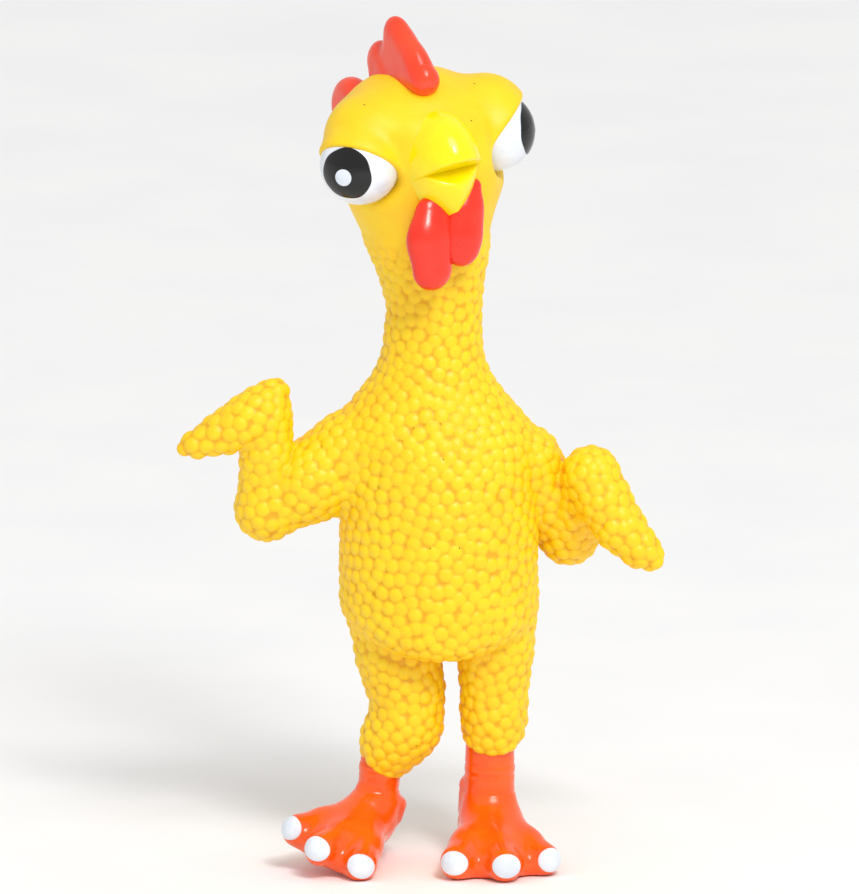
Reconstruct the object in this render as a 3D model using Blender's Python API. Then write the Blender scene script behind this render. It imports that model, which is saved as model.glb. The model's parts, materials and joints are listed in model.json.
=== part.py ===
"""Rubber chicken: a hollow latex squeeze toy with a plug-in squeaker in its back.

The toy is one hollow casting in latex, painted by hand. It bends wherever its wall is narrow, so the
model divides it at those places: stiff sections (torso, neck, head, wings, legs, feet) keep their
shape, and a short flex band stands for the stretch of wall that bends between two of them. The parts
that hang or flop (comb and wattles) and the belly that is squeezed are pieces of their own.

The chicken stands on its left foot and faces -Y. Lengths below are in millimetres, and `at` turns
them into Blender's metres. Right and left are the chicken's own: its right wing is at -X.
"""

import math

import bmesh
import bpy
from mathutils import Matrix, Vector

MM = 0.001
WALL = 2.0            # thickness of the latex skin
GAP = 0.3             # clearance between two neighbouring sections
FOLD_GAP = 0.9        # clearance where a wing is folded against itself
KNUCKLE_GAP = 0.7     # clearance between a rounded joint and the square end beside it
ROUND = 26            # points around the torso and head
LIMB_ROUND = 14       # points around a wing or a leg
SMALL_ROUND = 10      # points around small trim
ORIGIN = (5.49, 3.66)   # shift in X and Y that centres the toy on its origin

HEAD_YAW = 28.0       # the head looks to its left of straight ahead, in degrees
HEAD_ROLL = 7.0       # and its left side is the higher one


def at(x, y, z):
    """A place given in millimetres."""
    return Vector((x, y, z)) * MM


# ---------------------------------------------------------------- materials

def paint(name, colour, roughness):
    """A painted or moulded surface with the given linear colour."""
    material = bpy.data.materials.new(name)
    material.use_nodes = True
    shader = material.node_tree.nodes["Principled BSDF"]
    shader.inputs["Base Color"].default_value = (*colour, 1.0)
    shader.inputs["Roughness"].default_value = roughness
    shader.inputs["Metallic"].default_value = 0.0
    material.diffuse_color = (*colour, 1.0)
    return material


for old in list(bpy.data.objects):
    bpy.data.objects.remove(old)

YELLOW = paint("yellow_latex", (0.94, 0.64, 0.01), 0.42)
LEMON = paint("lemon_paint", (1.0, 0.86, 0.02), 0.25)
ORANGE = paint("orange_paint", (1.0, 0.13, 0.01), 0.30)
RED = paint("red_paint", (0.90, 0.05, 0.02), 0.28)
CORAL = paint("coral_paint", (1.0, 0.09, 0.03), 0.32)
WHITE = paint("white_paint", (0.80, 0.86, 0.92), 0.20)
BLACK = paint("black_paint", (0.002, 0.002, 0.003), 0.12)
PLASTIC = paint("ivory_plastic", (0.82, 0.80, 0.72), 0.35)
BRASS = paint("brass_reed", (0.70, 0.50, 0.20), 0.30)


# ---------------------------------------------------------------- bodies

PIVOTS = {}


def pivot(name, place, parent=None):
    """An empty on a joint's axis, which the pieces of one moving body hang from."""
    empty = bpy.data.objects.new(name + "_pivot", None)
    empty.empty_display_size = 0.01
    bpy.context.collection.objects.link(empty)
    base = Vector((0, 0, 0))
    if parent:
        empty.parent = PIVOTS[parent][0]
        base = PIVOTS[parent][1]
    empty.location = place - base
    PIVOTS[name] = (empty, place)


def add(name, form, material, body):
    """Turn a form that was drawn in the toy's frame into a named piece of one body."""
    mesh = bpy.data.meshes.new(name)
    form.to_mesh(mesh)
    form.free()
    empty, place = PIVOTS[body]
    mesh.transform(Matrix.Translation(-place))
    mesh.materials.append(material)
    mesh.shade_smooth()
    mesh.set_sharp_from_angle(angle=math.radians(40))
    piece = bpy.data.objects.new(name, mesh)
    bpy.context.collection.objects.link(piece)
    piece.parent = empty
    return piece


def cutter(name, form):
    """A shape that only cuts others. It is not part of the toy."""
    tool = add(name, form, YELLOW, "figure")
    tool.hide_render = True
    tool.display_type = "WIRE"
    return tool


def boolean(piece, operation, *tools):
    """Cut, join or keep a piece with each of the given tools in turn."""
    for tool in tools:
        modifier = piece.modifiers.new(tool.name, "BOOLEAN")
        modifier.operation = operation
        modifier.object = tool
    return piece


def hollow(piece, wall=WALL):
    """Give an open skin its wall, inwards from the outer surface."""
    modifier = piece.modifiers.new("wall", "SOLIDIFY")
    modifier.thickness = wall * MM
    modifier.offset = -1.0
    modifier.use_even_offset = True
    return piece


# ---------------------------------------------------------------- mesh shapes

def skin(rings, close_start, close_end):
    """Join rings of points into one skin that faces out, with its ends open or closed."""
    form = bmesh.new()
    rows = [[form.verts.new(point) for point in ring] for ring in rings]
    count = len(rows[0])
    for row, after in zip(rows, rows[1:]):
        for i in range(count):
            j = (i + 1) % count
            form.faces.new((row[i], row[j], after[j], after[i]))
    if close_start:
        form.faces.new(list(reversed(rows[0])))
    if close_end:
        form.faces.new(rows[-1])
    return form


def tube(rings, wall=WALL):
    """An open-ended tube whose wall is measured square to its path, so its ends stay flat."""
    inner = []
    for ring in rings:
        middle = sum(ring, Vector()) / len(ring)
        inner.append([point - (point - middle).normalized() * (wall * MM) for point in ring])
    form = bmesh.new()
    rows = [[form.verts.new(point) for point in ring] for ring in rings + inner[::-1]]
    count = len(rows[0])
    for row, after in zip(rows, rows[1:] + rows[:1]):
        for i in range(count):
            j = (i + 1) % count
            form.faces.new((row[i], row[j], after[j], after[i]))
    return form


def ellipse(centre, across, along, half_across, half_along, count):
    """Points around an ellipse whose two half widths lie on two given directions."""
    points = []
    for i in range(count):
        angle = 2 * math.pi * i / count
        sideways, onward = half_across * math.cos(angle), half_along * math.sin(angle)
        points.append(centre + across * sideways + along * onward)
    return points


def upright(stations, yaw=0.0, count=ROUND):
    """Level rings up a body. A station is height, centre x and y, and half width and depth."""
    turn = Matrix.Rotation(math.radians(yaw), 3, "Z")
    across = turn @ Vector((1, 0, 0))
    along = turn @ Vector((0, 1, 0))
    return [ellipse(at(x, y, z), across, along, wide * MM, deep * MM, count)
            for z, x, y, wide, deep in stations]


def grown(stations, amount, lift=0.0):
    """The same stations with every half width grown, and the whole lifted, by some millimetres."""
    return [(z + lift, x, y, wide + amount, deep + amount) for z, x, y, wide, deep in stations]


def frame_along(start, end):
    """Two directions square to the line between two places, and the line's own."""
    ahead = (end - start).normalized()
    reference = Vector((0, 1, 0)) if abs(ahead.y) < 0.9 else Vector((1, 0, 0))
    side = reference.cross(ahead).normalized()
    return side, ahead.cross(side), ahead


def limb(start, end, profile, count=LIMB_ROUND):
    """Rings along a straight limb. A profile point is a fraction of its length and a radius."""
    side, other, _ = frame_along(start, end)
    return [ellipse(start.lerp(end, t), side, other, r * MM, r * MM, count) for t, r in profile]


def trim(form, place, outward):
    """Cut away the part of an open skin that lies beyond a plane."""
    parts = form.verts[:] + form.edges[:] + form.faces[:]
    bmesh.ops.bisect_plane(form, geom=parts, plane_co=place, plane_no=outward, clear_outer=True, dist=1e-7)
    return form


def turned(profile, centre, axis, count):
    """A closed profile of (radius, height) points turned about an axis through a place."""
    form = bmesh.new()
    lift = axis.to_track_quat("Z", "Y").to_matrix()
    side, other = lift @ Vector((1, 0, 0)), lift @ Vector((0, 1, 0))
    rows = []
    for radius, height in profile:
        ring = ellipse(centre + axis * (height * MM), side, other, radius * MM, radius * MM, count)
        rows.append([form.verts.new(point) for point in ring])
    for row, after in zip(rows, rows[1:] + rows[:1]):
        for i in range(count):
            j = (i + 1) % count
            form.faces.new((row[i], row[j], after[j], after[i]))
    bmesh.ops.recalc_face_normals(form, faces=form.faces)
    return form


def ball(centre, half_sizes, yaw=0.0, count=14):
    """An egg shape with three half sizes, turned about the vertical."""
    form = bmesh.new()
    size = Matrix.Diagonal((*[half * MM for half in half_sizes], 1.0))
    place = Matrix.Translation(centre) @ Matrix.Rotation(math.radians(yaw), 4, "Z") @ size
    bmesh.ops.create_uvsphere(form, u_segments=count, v_segments=count // 2 + 2, radius=1.0, matrix=place)
    return form


def rod(start, end, radius, count):
    """A plain closed cylinder between two places."""
    return skin(limb(start, end, ((0, radius), (1, radius)), count), True, True)


def block(centre, sizes):
    """A plain closed box."""
    form = bmesh.new()
    size = Matrix.Diagonal((*[side * MM for side in sizes], 1.0))
    bmesh.ops.create_cube(form, size=1.0, matrix=Matrix.Translation(centre) @ size)
    return form


# ---------------------------------------------------------------- driving dimensions

TORSO = (
    (60.0, -0.5, 0.5, 21.5, 17.0),
    (62.0, -0.5, 0.0, 24.4, 19.8),
    (67.0, -0.5, 0.0, 25.9, 21.3),
    (80.0, -0.8, 0.0, 26.4, 21.6),
    (95.0, -0.5, 0.0, 26.6, 21.2),
    (107.0, -0.5, 0.2, 26.9, 20.4),
    (114.0, -1.0, 0.5, 26.8, 19.0),
    (118.5, -1.8, 0.5, 25.9, 17.6),
    (122.0, -2.3, 0.5, 23.8, 16.4),
    (126.0, -2.6, 0.5, 20.0, 15.0),
    (129.5, -2.6, 0.5, 17.3, 14.2),
    (133.4, -2.5, 0.5, 14.8, 13.6),
)
BELLY_CENTRE = (-0.5, 88.0)
BELLY_HALF = (17.0, 23.0)

NECK_NOD_Z = 138.7
NECK_TILT_Z = 154.0
HEAD_TURN_Z = 165.0
NECK_SECTIONS = (
    ("neck_nod_band", "torso",
     ((133.7, -2.5, 0.5, 14.7, 13.6), (138.7, -2.4, 0.5, 13.7, 13.3), (143.7, -2.3, 0.5, 13.3, 13.0))),
    ("neck_ring", "neck_low", ((144.0, -2.3, 0.5, 13.3, 13.0), (149.0, -2.2, 0.5, 13.1, 12.9))),
    ("neck_tilt_band", "neck_low",
     ((149.3, -2.2, 0.5, 13.1, 12.9), (154.0, -2.0, 0.5, 13.0, 13.0), (158.7, -2.1, 0.5, 13.3, 13.2))),
    ("neck_collar", "neck_high", ((159.0, -2.1, 0.5, 13.4, 13.2), (164.7, -2.5, 0.5, 14.4, 14.0))),
)

HEAD = (
    (165.3, -2.5, 0.5, 14.6, 14.2),
    (168.0, -3.4, 0.6, 15.8, 15.2),
    (172.0, -4.4, 0.7, 17.6, 16.8),
    (178.0, -4.9, 0.7, 20.2, 19.2),
    (185.0, -5.0, 0.6, 23.0, 22.0),
    (192.0, -5.2, 0.6, 24.6, 23.6),
    (199.0, -5.4, 0.6, 25.2, 23.4),
    (205.0, -5.6, 0.6, 23.4, 21.6),
    (209.5, -5.8, 0.6, 19.2, 18.0),
    (212.5, -6.0, 0.6, 13.0, 12.4),
    (214.0, -6.2, 0.6, 5.5, 5.2),
)

EYE_RADIUS = 10.6
EYES = (("right", at(-22.6, -14.2, 190.6), -48.0), ("left", at(14.0, 5.3, 195.9), 48.0))
IRIS_ANGLE = 39.0
EYE_EDGE_ANGLE = 106.0
EYE_ROUND = 20

BEAK = {
    "upper_beak": (at(-2.6, -12.0, 198.6), at(4.0, -30.0, 195.4), 9.6, 6.6),
    "lower_beak": (at(-1.6, -12.0, 186.0), at(3.8, -27.5, 187.0), 8.4, 4.9),
}
BEAK_CLEARANCE = 0.9  # room that lets the wattles swing behind the lower half

WINGS = (
    {
        "side": "right", "start": 8.0, "cap": ((-0.4, 0.9), (0.0, 1.02)),
        "shoulder": at(-27.0, 0.0, 105.5), "elbow": at(-47.5, -2.0, 95.8),
        "wrist": at(-46.0, -3.5, 123.8), "tip": at(-69.6, -6.0, 113.8),
        "arm": (9.4, 8.2), "forearm": (8.0, 7.6),
        "hand": ((0.0, 7.8), (0.25, 8.6), (0.5, 7.0), (0.75, 4.8), (0.93, 2.8), (1.0, 1.2)),
    },
    {
        "side": "left", "start": 0.0, "cap": ((-0.4, 0.3), (-0.36, 0.6), (-0.26, 0.86), (-0.12, 0.98)),
        "shoulder": at(27.5, 3.0, 105.0), "elbow": at(35.0, 12.0, 87.0),
        "wrist": at(41.5, -3.0, 105.5), "tip": at(57.6, -8.0, 82.5),
        "arm": (8.0, 7.0), "forearm": (6.8, 6.8),
        "hand": ((0.0, 7.0), (0.25, 7.2), (0.5, 6.4), (0.75, 5.0), (0.93, 3.2), (1.0, 1.4)),
    },
)

LEGS = (
    {
        "side": "right", "hip": at(-11.7, 0.0, 56.0), "ankle": at(-16.8, 0.0, 20.6),
        "band": ((52.3, -11.2, 0.0, 11.6, 11.2), (59.7, -11.7, 0.0, 10.0, 10.0)),
        "thigh": ((26.4, -15.4, 0.0, 6.4, 6.2), (30.0, -13.6, 0.0, 9.0, 8.6), (34.0, -11.6, 0.0, 10.4, 9.8),
                  (39.0, -9.8, 0.0, 9.6, 9.4), (43.0, -9.4, 0.0, 9.4, 9.4), (52.0, -11.2, 0.0, 11.6, 11.2)),
        "shank": ((23.7, -16.4, 0.0, 5.4, 5.4), (26.1, -15.6, 0.0, 5.6, 5.6)),
        "flex": ((18.3, -16.8, 0.0, 5.5, 5.5), (20.8, -16.7, 0.0, 5.3, 5.3), (23.4, -16.4, 0.0, 5.4, 5.4)),
    },
    {
        "side": "left", "hip": at(13.8, 0.0, 56.0), "ankle": at(12.5, 0.0, 20.0),
        "band": ((52.3, 13.7, 0.0, 9.8, 10.2), (59.7, 13.7, 0.0, 9.4, 9.6)),
        "thigh": ((31.0, 13.1, 0.0, 6.6, 6.4), (34.0, 13.4, 0.0, 7.6, 7.6), (38.0, 14.0, 0.0, 8.3, 8.4),
                  (43.0, 13.9, 0.0, 8.8, 9.0), (52.0, 13.7, 0.0, 9.8, 10.2)),
        "shank": ((23.7, 12.6, 0.0, 5.9, 5.9), (30.7, 13.0, 0.0, 6.0, 6.0)),
        "flex": ((16.7, 12.5, 0.0, 6.0, 6.0), (20.0, 12.5, 0.0, 5.8, 5.8), (23.4, 12.6, 0.0, 5.9, 5.9)),
    },
)

# The left foot's outline on the ground, from its heel round the inner side, measured from the ankle.
FOOT_OUTLINE = (
    (0.0, 8.0), (-4.8, 6.6), (-7.4, 1.0), (-8.2, -7.0), (-10.2, -15.0), (-12.8, -22.0), (-11.8, -27.0),
    (-7.6, -28.6), (-3.6, -25.6), (-1.8, -23.4), (0.2, -28.4), (4.5, -31.6), (8.6, -28.8), (9.6, -23.0),
    (14.0, -22.8), (18.2, -21.6), (19.0, -17.2), (15.6, -11.6), (10.4, -5.4), (8.0, 0.6), (5.2, 6.4),
)
FOOT_TOP = 16.4       # height of the foot's upper end
TOE_TOP = 6.6         # height of the toes' upper edge
NAILS = ((-7.9, -26.4), (4.5, -29.2), (15.9, -20.4))
NAIL_HALF = (3.0, 2.2, 2.4)
SPUR = ((-3.6, 2.6, 13.0), (-8.8, 6.4, 18.2))

SQUEAKER_CENTRE = (0.0, 84.0)
SEAT_BACK = 22.4      # outer face of the moulded ring that the squeaker plugs into
SEAT_FRONT = 17.4
SEAT_RADIUS = (8.4, 11.0)
CASE_BORE = 6.8


# ---------------------------------------------------------------- bodies and their pivots

pivot("figure", at(0, 0, 0))
PIVOTS["figure"][0].location = at(*ORIGIN, 0)
pivot("torso", at(-0.5, 0, 90), "figure")
pivot("belly", at(BELLY_CENTRE[0], -20, BELLY_CENTRE[1]), "torso")
pivot("neck_low", at(-2.4, 0.5, NECK_NOD_Z), "torso")
pivot("neck_high", at(-2.1, 0.5, NECK_TILT_Z), "neck_low")
pivot("head", at(-2.5, 0.5, HEAD_TURN_Z), "neck_high")
pivot("comb", at(-14.0, 4.0, 206.5), "head")
for limb_side, wattle_place in (("right", at(-2.6, -22.0, 183.0)), ("left", at(6.6, -18.4, 184.0))):
    pivot(limb_side + "_wattle", wattle_place, "head")
for wing in WINGS:
    pivot(wing["side"] + "_upper_arm", wing["shoulder"], "torso")
    pivot(wing["side"] + "_forearm", wing["elbow"], wing["side"] + "_upper_arm")
    pivot(wing["side"] + "_hand", wing["wrist"], wing["side"] + "_forearm")
for leg in LEGS:
    pivot(leg["side"] + "_leg", leg["hip"], "torso")
    pivot(leg["side"] + "_foot", leg["ankle"], leg["side"] + "_leg")
pivot("reed", at(SQUEAKER_CENTRE[0], 12.4, SQUEAKER_CENTRE[1] + 4.6), "torso")


# ---------------------------------------------------------------- torso and belly

torso_envelope = cutter("torso_envelope", skin(upright(grown(TORSO, GAP)), True, True))


def belly_plug(name, shrink):
    """An upright oval plug through the belly's front, to cut the opening or keep the panel."""
    across, up = Vector((1, 0, 0)), Vector((0, 0, 1))
    half_wide, half_tall = [(half - shrink) * MM for half in BELLY_HALF]
    rings = [ellipse(at(BELLY_CENTRE[0], y, BELLY_CENTRE[1]), across, up, half_wide, half_tall, ROUND)
             for y in (-5.0, -40.0)]
    return cutter(name, skin(rings, True, True))


def build_torso():
    """The torso's skin, open at the neck, legs, wings, belly and squeaker seat."""
    closed_below = skin(upright(TORSO), True, False)
    torso = hollow(add("torso_skin", closed_below, YELLOW, "torso"))
    x, z = SQUEAKER_CENTRE
    seat = cutter("seat_ring", rod(at(x, SEAT_FRONT, z), at(x, SEAT_BACK, z), SEAT_RADIUS[1], 20))
    hole = cutter("seat_hole", rod(at(x, 8, z), at(x, 30, z), SEAT_RADIUS[0], 20))
    boolean(torso, "UNION", seat)
    boolean(torso, "DIFFERENCE", hole, belly_plug("belly_opening", 0.0))
    for wing in WINGS:
        inner = wing["shoulder"].copy()
        inner.x *= 0.6
        outer = wing["shoulder"].copy()
        outer.x *= 1.2
        name = wing["side"] + "_shoulder_hole"
        boolean(torso, "DIFFERENCE", cutter(name, rod(inner, outer, 4.5, 16)))
    for leg in LEGS:
        place = leg["hip"]
        name = leg["side"] + "_hip_hole"
        hole = rod(place - at(0, 0, 4), place + at(0, 0, 8), 7.0, 16)
        boolean(torso, "DIFFERENCE", cutter(name, hole))


def build_belly():
    """The part of the belly that a hand squeezes in."""
    panel = add("belly_panel", skin(upright(TORSO), True, False), YELLOW, "belly")
    boolean(hollow(panel), "INTERSECT", belly_plug("belly_keep", GAP))


# ---------------------------------------------------------------- neck and head

def build_neck():
    for name, body, stations in NECK_SECTIONS:
        add(name, tube(upright(stations, count=20)), YELLOW, body)


def head_frame():
    """The head's forward, left and up directions."""
    yaw, roll = math.radians(HEAD_YAW), math.radians(HEAD_ROLL)
    forward = Vector((math.sin(yaw), -math.cos(yaw), 0))
    level_left = Vector((math.cos(yaw), math.sin(yaw), 0))
    left = level_left * math.cos(roll) + Vector((0, 0, math.sin(roll)))
    return forward, left, left.cross(forward)


FORWARD, LEFT, UP = head_frame()


def gaze(angle):
    """The way an eye looks, at an angle from straight ahead in the head's own frame."""
    turn = math.radians(angle)
    return FORWARD * math.cos(turn) + LEFT * math.sin(turn)


def cap_profile(inner_angle, outer_angle, radius, wall, steps):
    """A zone of a sphere's wall between two angles from its axis, as a closed profile."""
    outside, inside = [], []
    for i in range(steps + 1):
        angle = math.radians(inner_angle + (outer_angle - inner_angle) * i / steps)
        outside.append((radius * math.sin(angle), radius * math.cos(angle)))
        inside.append(((radius - wall) * math.sin(angle), (radius - wall) * math.cos(angle)))
    return outside + inside[::-1]


def disc_cap(centre, axis, angle, radius, wall, count):
    """A round piece of a sphere's wall, closed all over."""
    lift = axis.to_track_quat("Z", "Y").to_matrix()
    side, other = lift @ Vector((1, 0, 0)), lift @ Vector((0, 1, 0))
    rings = []
    angles = [angle * k / 3 for k in (1, 2, 3)]
    levels = [(radius - wall, a) for a in angles] + [(radius, a) for a in angles[::-1]]
    for size, a in levels:
        spread, height = size * math.sin(math.radians(a)), size * math.cos(math.radians(a))
        middle = centre + axis * (height * MM)
        rings.append(ellipse(middle, side, other, spread * MM, spread * MM, count))
    form = skin(rings, True, True)
    bmesh.ops.recalc_face_normals(form, faces=form.faces)
    return form


def build_head():
    """The head's skin with its two eyes, and the beak halves on its face."""
    skull = hollow(add("head_skin", skin(upright(HEAD, HEAD_YAW), False, True), YELLOW, "head"))
    for side, centre, angle in EYES:
        socket = ball(centre, [EYE_RADIUS + 2 * GAP] * 3, count=EYE_ROUND)
        boolean(skull, "DIFFERENCE", cutter(side + "_socket", socket))
        axis = gaze(angle)
        zone = cap_profile(IRIS_ANGLE + 2.0, EYE_EDGE_ANGLE, EYE_RADIUS, 1.8, 5)
        white = turned(zone, centre, axis, EYE_ROUND)
        add(side + "_eye", white, WHITE, "head")
        iris = disc_cap(centre, axis, IRIS_ANGLE, EYE_RADIUS, 1.8, EYE_ROUND)
        add(side + "_iris", iris, BLACK, "head")


head_envelope = cutter("head_envelope", skin(upright(grown(HEAD, GAP), HEAD_YAW), True, True))


def horn(base, tip, half_wide, half_tall):
    """A tapering beak half from its root to its tip."""
    ahead = (tip - base).normalized()
    up = (UP - ahead * UP.dot(ahead)).normalized()
    side = ahead.cross(up)
    shape = ((0.0, 1.0), (0.35, 0.95), (0.65, 0.74), (0.87, 0.44), (1.0, 0.14))
    rings = [ellipse(base.lerp(tip, t), up, side, half_tall * MM * k, half_wide * MM * k, SMALL_ROUND)
             for t, k in shape]
    form = skin(rings, True, True)
    bmesh.ops.recalc_face_normals(form, faces=form.faces)
    return form


def build_beak():
    for name, (base, tip, half_wide, half_tall) in BEAK.items():
        half = add(name, horn(base, tip, half_wide, half_tall), LEMON, "head")
        boolean(half, "DIFFERENCE", head_envelope)


def build_comb():
    """Three lobes along the crown, joined into one soft crest that stands clear of the head."""
    along = 90.0 + HEAD_YAW
    lobes = (
        (at(-7.0, -9.0, 217.0), (10.4, 3.2, 12.2)),
        (at(-14.6, 5.0, 214.6), (10.4, 3.0, 10.0)),
        (at(-21.6, 18.0, 205.8), (8.6, 2.8, 8.6)),
    )
    forms = [ball(centre, halves, along) for centre, halves in lobes]
    crest = add("comb", forms[0], CORAL, "comb")
    for number, form in enumerate(forms[1:], 2):
        boolean(crest, "UNION", cutter(f"comb_lobe_{number}", form))
    clear = skin(upright(grown(HEAD, 1.4, 1.5), HEAD_YAW), True, True)
    boolean(crest, "DIFFERENCE", cutter("comb_clearance", clear))


def build_wattles():
    lobes = (
        ("right", at(-3.2, -22.0, 170.6), (6.0, 3.0, 12.2)),
        ("left", at(6.7, -18.6, 172.6), (4.7, 3.0, 11.2)),
    )
    base, tip, half_wide, half_tall = BEAK["lower_beak"]
    room = horn(base, tip.lerp(base, -0.1), half_wide + BEAK_CLEARANCE, half_tall + BEAK_CLEARANCE)
    beak_room = cutter("beak_room", room)
    for side, centre, halves in lobes:
        name = side + "_wattle"
        lobe = add(name, ball(centre, halves, HEAD_YAW), RED, name)
        boolean(lobe, "DIFFERENCE", head_envelope, beak_room)


# ---------------------------------------------------------------- wings

def between(corner, one, other, towards):
    """The plane that halves the angle at a corner, with its normal away from one of the two limbs."""
    flat = ((one - corner).normalized() - (other - corner).normalized()).normalized()
    return corner, flat if towards == "other" else -flat


def sleeve(name, body, start, end, profile, cuts, closed_tip=False):
    """A hollow straight section of a wing, trimmed by planes."""
    form = skin(limb(start, end, profile), False, closed_tip)
    for place, outward in cuts:
        trim(form, place - outward * (FOLD_GAP / 2 * MM), outward)
    return hollow(add(name, form, YELLOW, body), 1.8)


def knuckle(name, body, corner, radius, first, second):
    """The rounded outer side of a folded joint, between the square ends of its two limbs."""
    form = ball(corner, [radius] * 3, count=LIMB_ROUND)
    for neighbour in (first, second):
        ahead = (neighbour - corner).normalized()
        trim(form, corner - ahead * (KNUCKLE_GAP * MM), ahead)
    return hollow(add(name, form, YELLOW, body), 1.8)


def build_wing(wing):
    side = wing["side"]
    shoulder, elbow, wrist, tip = wing["shoulder"], wing["elbow"], wing["wrist"], wing["tip"]
    arm_length = (elbow - shoulder).length / MM
    start = wing["start"] / arm_length
    at_elbow = between(elbow, shoulder, wrist, "other")
    arm_root, arm_end = wing["arm"]
    root_radius = arm_root + (arm_end - arm_root) * start

    def beyond(fold, sign):
        """The fold's plane, facing away from the section that it trims."""
        place, flat = fold
        return place, flat * sign

    arm = sleeve(side + "_upper_arm", side + "_upper_arm", shoulder, elbow,
                 ((start, root_radius), ((start + 1) / 2, (root_radius + arm_end) / 2), (1.0, arm_end)),
                 (beyond(at_elbow, -1.0),))
    boolean(arm, "DIFFERENCE", torso_envelope)

    band_end = start - 2 * GAP / arm_length
    band_profile = [(t, arm_root * share) for t, share in wing["cap"]] + [(band_end, root_radius)]
    form = skin(limb(shoulder, elbow, band_profile), True, False)
    band = hollow(add(side + "_shoulder_band", form, YELLOW, side + "_upper_arm"), 1.8)
    boolean(band, "DIFFERENCE", torso_envelope)

    knuckle(side + "_elbow_band", side + "_forearm", elbow, arm_end, shoulder, wrist)
    fore_root, fore_end = wing["forearm"]
    at_wrist = between(wrist, elbow, tip, "other")
    sleeve(side + "_forearm", side + "_forearm", elbow, wrist,
           ((0.0, fore_root), (0.5, (fore_root + fore_end) / 2), (1.0, fore_end)),
           (beyond(at_elbow, 1.0), beyond(at_wrist, -1.0)))
    knuckle(side + "_wrist_band", side + "_hand", wrist, fore_end, elbow, tip)
    hand = side + "_hand"
    sleeve(hand, hand, wrist, tip, wing["hand"], (beyond(at_wrist, 1.0),), closed_tip=True)


# ---------------------------------------------------------------- legs and feet

FOOT_CLEARANCE = {}


def blend_ring(outline, share, height):
    """A foot outline drawn in towards the round ankle by some share."""
    points = []
    for x, y in outline:
        reach = math.hypot(x, y)
        round_x, round_y = x / reach * 5.8, y / reach * 5.8
        points.append(at(x + (round_x - x) * share, y + (round_y - y) * share, height))
    return points


def foot_form():
    """The left foot about its ankle's vertical line, flat on the ground, solid latex."""
    inset = [(x * 0.95, y * 0.96) for x, y in FOOT_OUTLINE]
    rise = FOOT_TOP - TOE_TOP
    rings = [blend_ring(inset, 0.0, 0.0)]
    rings += [blend_ring(FOOT_OUTLINE, 0.0, height) for height in (1.6, 4.6)]
    for share, climb in ((0.10, 0.0), (0.40, 0.24), (0.72, 0.56), (1.0, 1.0)):
        rings.append(blend_ring(FOOT_OUTLINE, share, TOE_TOP + rise * climb))
    form = skin(rings, True, True)
    bmesh.ops.recalc_face_normals(form, faces=form.faces)
    return form


def spur_form():
    root, tip = [at(*place) for place in SPUR]
    return skin(limb(root, tip, ((0.0, 2.6), (0.6, 1.9), (1.0, 0.6)), 10), True, True)


def right_foot_pose():
    """Where the right foot stands: mirrored, turned out and rolled on to its inner toe."""
    mirror = Matrix.Diagonal((-0.9, 1, 1, 1))
    turn = Matrix.Rotation(math.radians(-17.0), 4, "Z")
    toe_line = Vector((-math.sin(math.radians(8.6)), -math.cos(math.radians(8.6)), 0))
    roll = Matrix.Rotation(math.radians(-22.0), 4, toe_line)
    ankle = LEGS[0]["ankle"].copy()
    ankle.z = 0
    lever = at(0, 0, FOOT_TOP)
    return Matrix.Translation(ankle + lever) @ roll @ Matrix.Translation(-lever) @ turn @ mirror


def foot_poses():
    """Where each foot stands. Both are drawn once, round the left ankle."""
    return {"right": right_foot_pose(), "left": Matrix.Translation(at(12.5, 0, 0))}


def level_sole(form):
    """Cut a foot off flat where it meets the ground."""
    trim(form, Vector((0, 0, 0)), Vector((0, 0, -1)))
    rim = [edge for edge in form.edges if edge.is_boundary]
    bmesh.ops.contextual_create(form, geom=rim)
    bmesh.ops.recalc_face_normals(form, faces=form.faces)
    return form


def build_feet():
    for side, pose in foot_poses().items():
        body = side + "_foot"
        pieces = [(body, foot_form(), ORANGE), (side + "_hind_toe", spur_form(), ORANGE)]
        for name, (x, y) in zip(("inner", "middle", "outer"), NAILS):
            reach = math.hypot(x, y)
            turn = math.degrees(math.atan2(y, x)) + 90.0
            place = at(x + x / reach * 1.6, y + y / reach * 1.6, 3.6)
            pieces.append((f"{side}_{name}_nail", ball(place, NAIL_HALF, turn, 10), WHITE))
        for name, form, material in pieces:
            bmesh.ops.transform(form, matrix=pose, verts=form.verts)
            if side == "right":
                bmesh.ops.reverse_faces(form, faces=form.faces)
            if name == "right_foot":
                level_sole(form)
            piece = add(name, form, material, body)
            if "nail" in name or "hind" in name:
                boolean(piece, "DIFFERENCE", FOOT_CLEARANCE[side])


def build_foot_clearances():
    """A slightly larger copy of each foot, which its nails and hind toe are cut back from."""
    for side, pose in foot_poses().items():
        form = foot_form()
        bmesh.ops.recalc_face_normals(form, faces=form.faces)
        for vert in form.verts:
            vert.normal_update()
        moves = [(vert, vert.co + vert.normal * (GAP * 1.3 * MM)) for vert in form.verts]
        for vert, place in moves:
            vert.co = place
        bmesh.ops.transform(form, matrix=pose, verts=form.verts)
        if side == "right":
            bmesh.ops.reverse_faces(form, faces=form.faces)
        name = side + "_foot_clearance"
        FOOT_CLEARANCE[side] = cutter(name, form)


def build_legs():
    for leg in LEGS:
        side = leg["side"]
        sections = (
            (side + "_hip_band", "torso", leg["band"], YELLOW),
            (side + "_thigh", side + "_leg", leg["thigh"], YELLOW),
            (side + "_shank", side + "_leg", leg["shank"], ORANGE),
            (side + "_ankle_band", side + "_leg", leg["flex"], ORANGE),
        )
        for name, body, stations, material in sections:
            add(name, tube(upright(stations, count=16)), material, body)


# ---------------------------------------------------------------- squeaker

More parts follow.
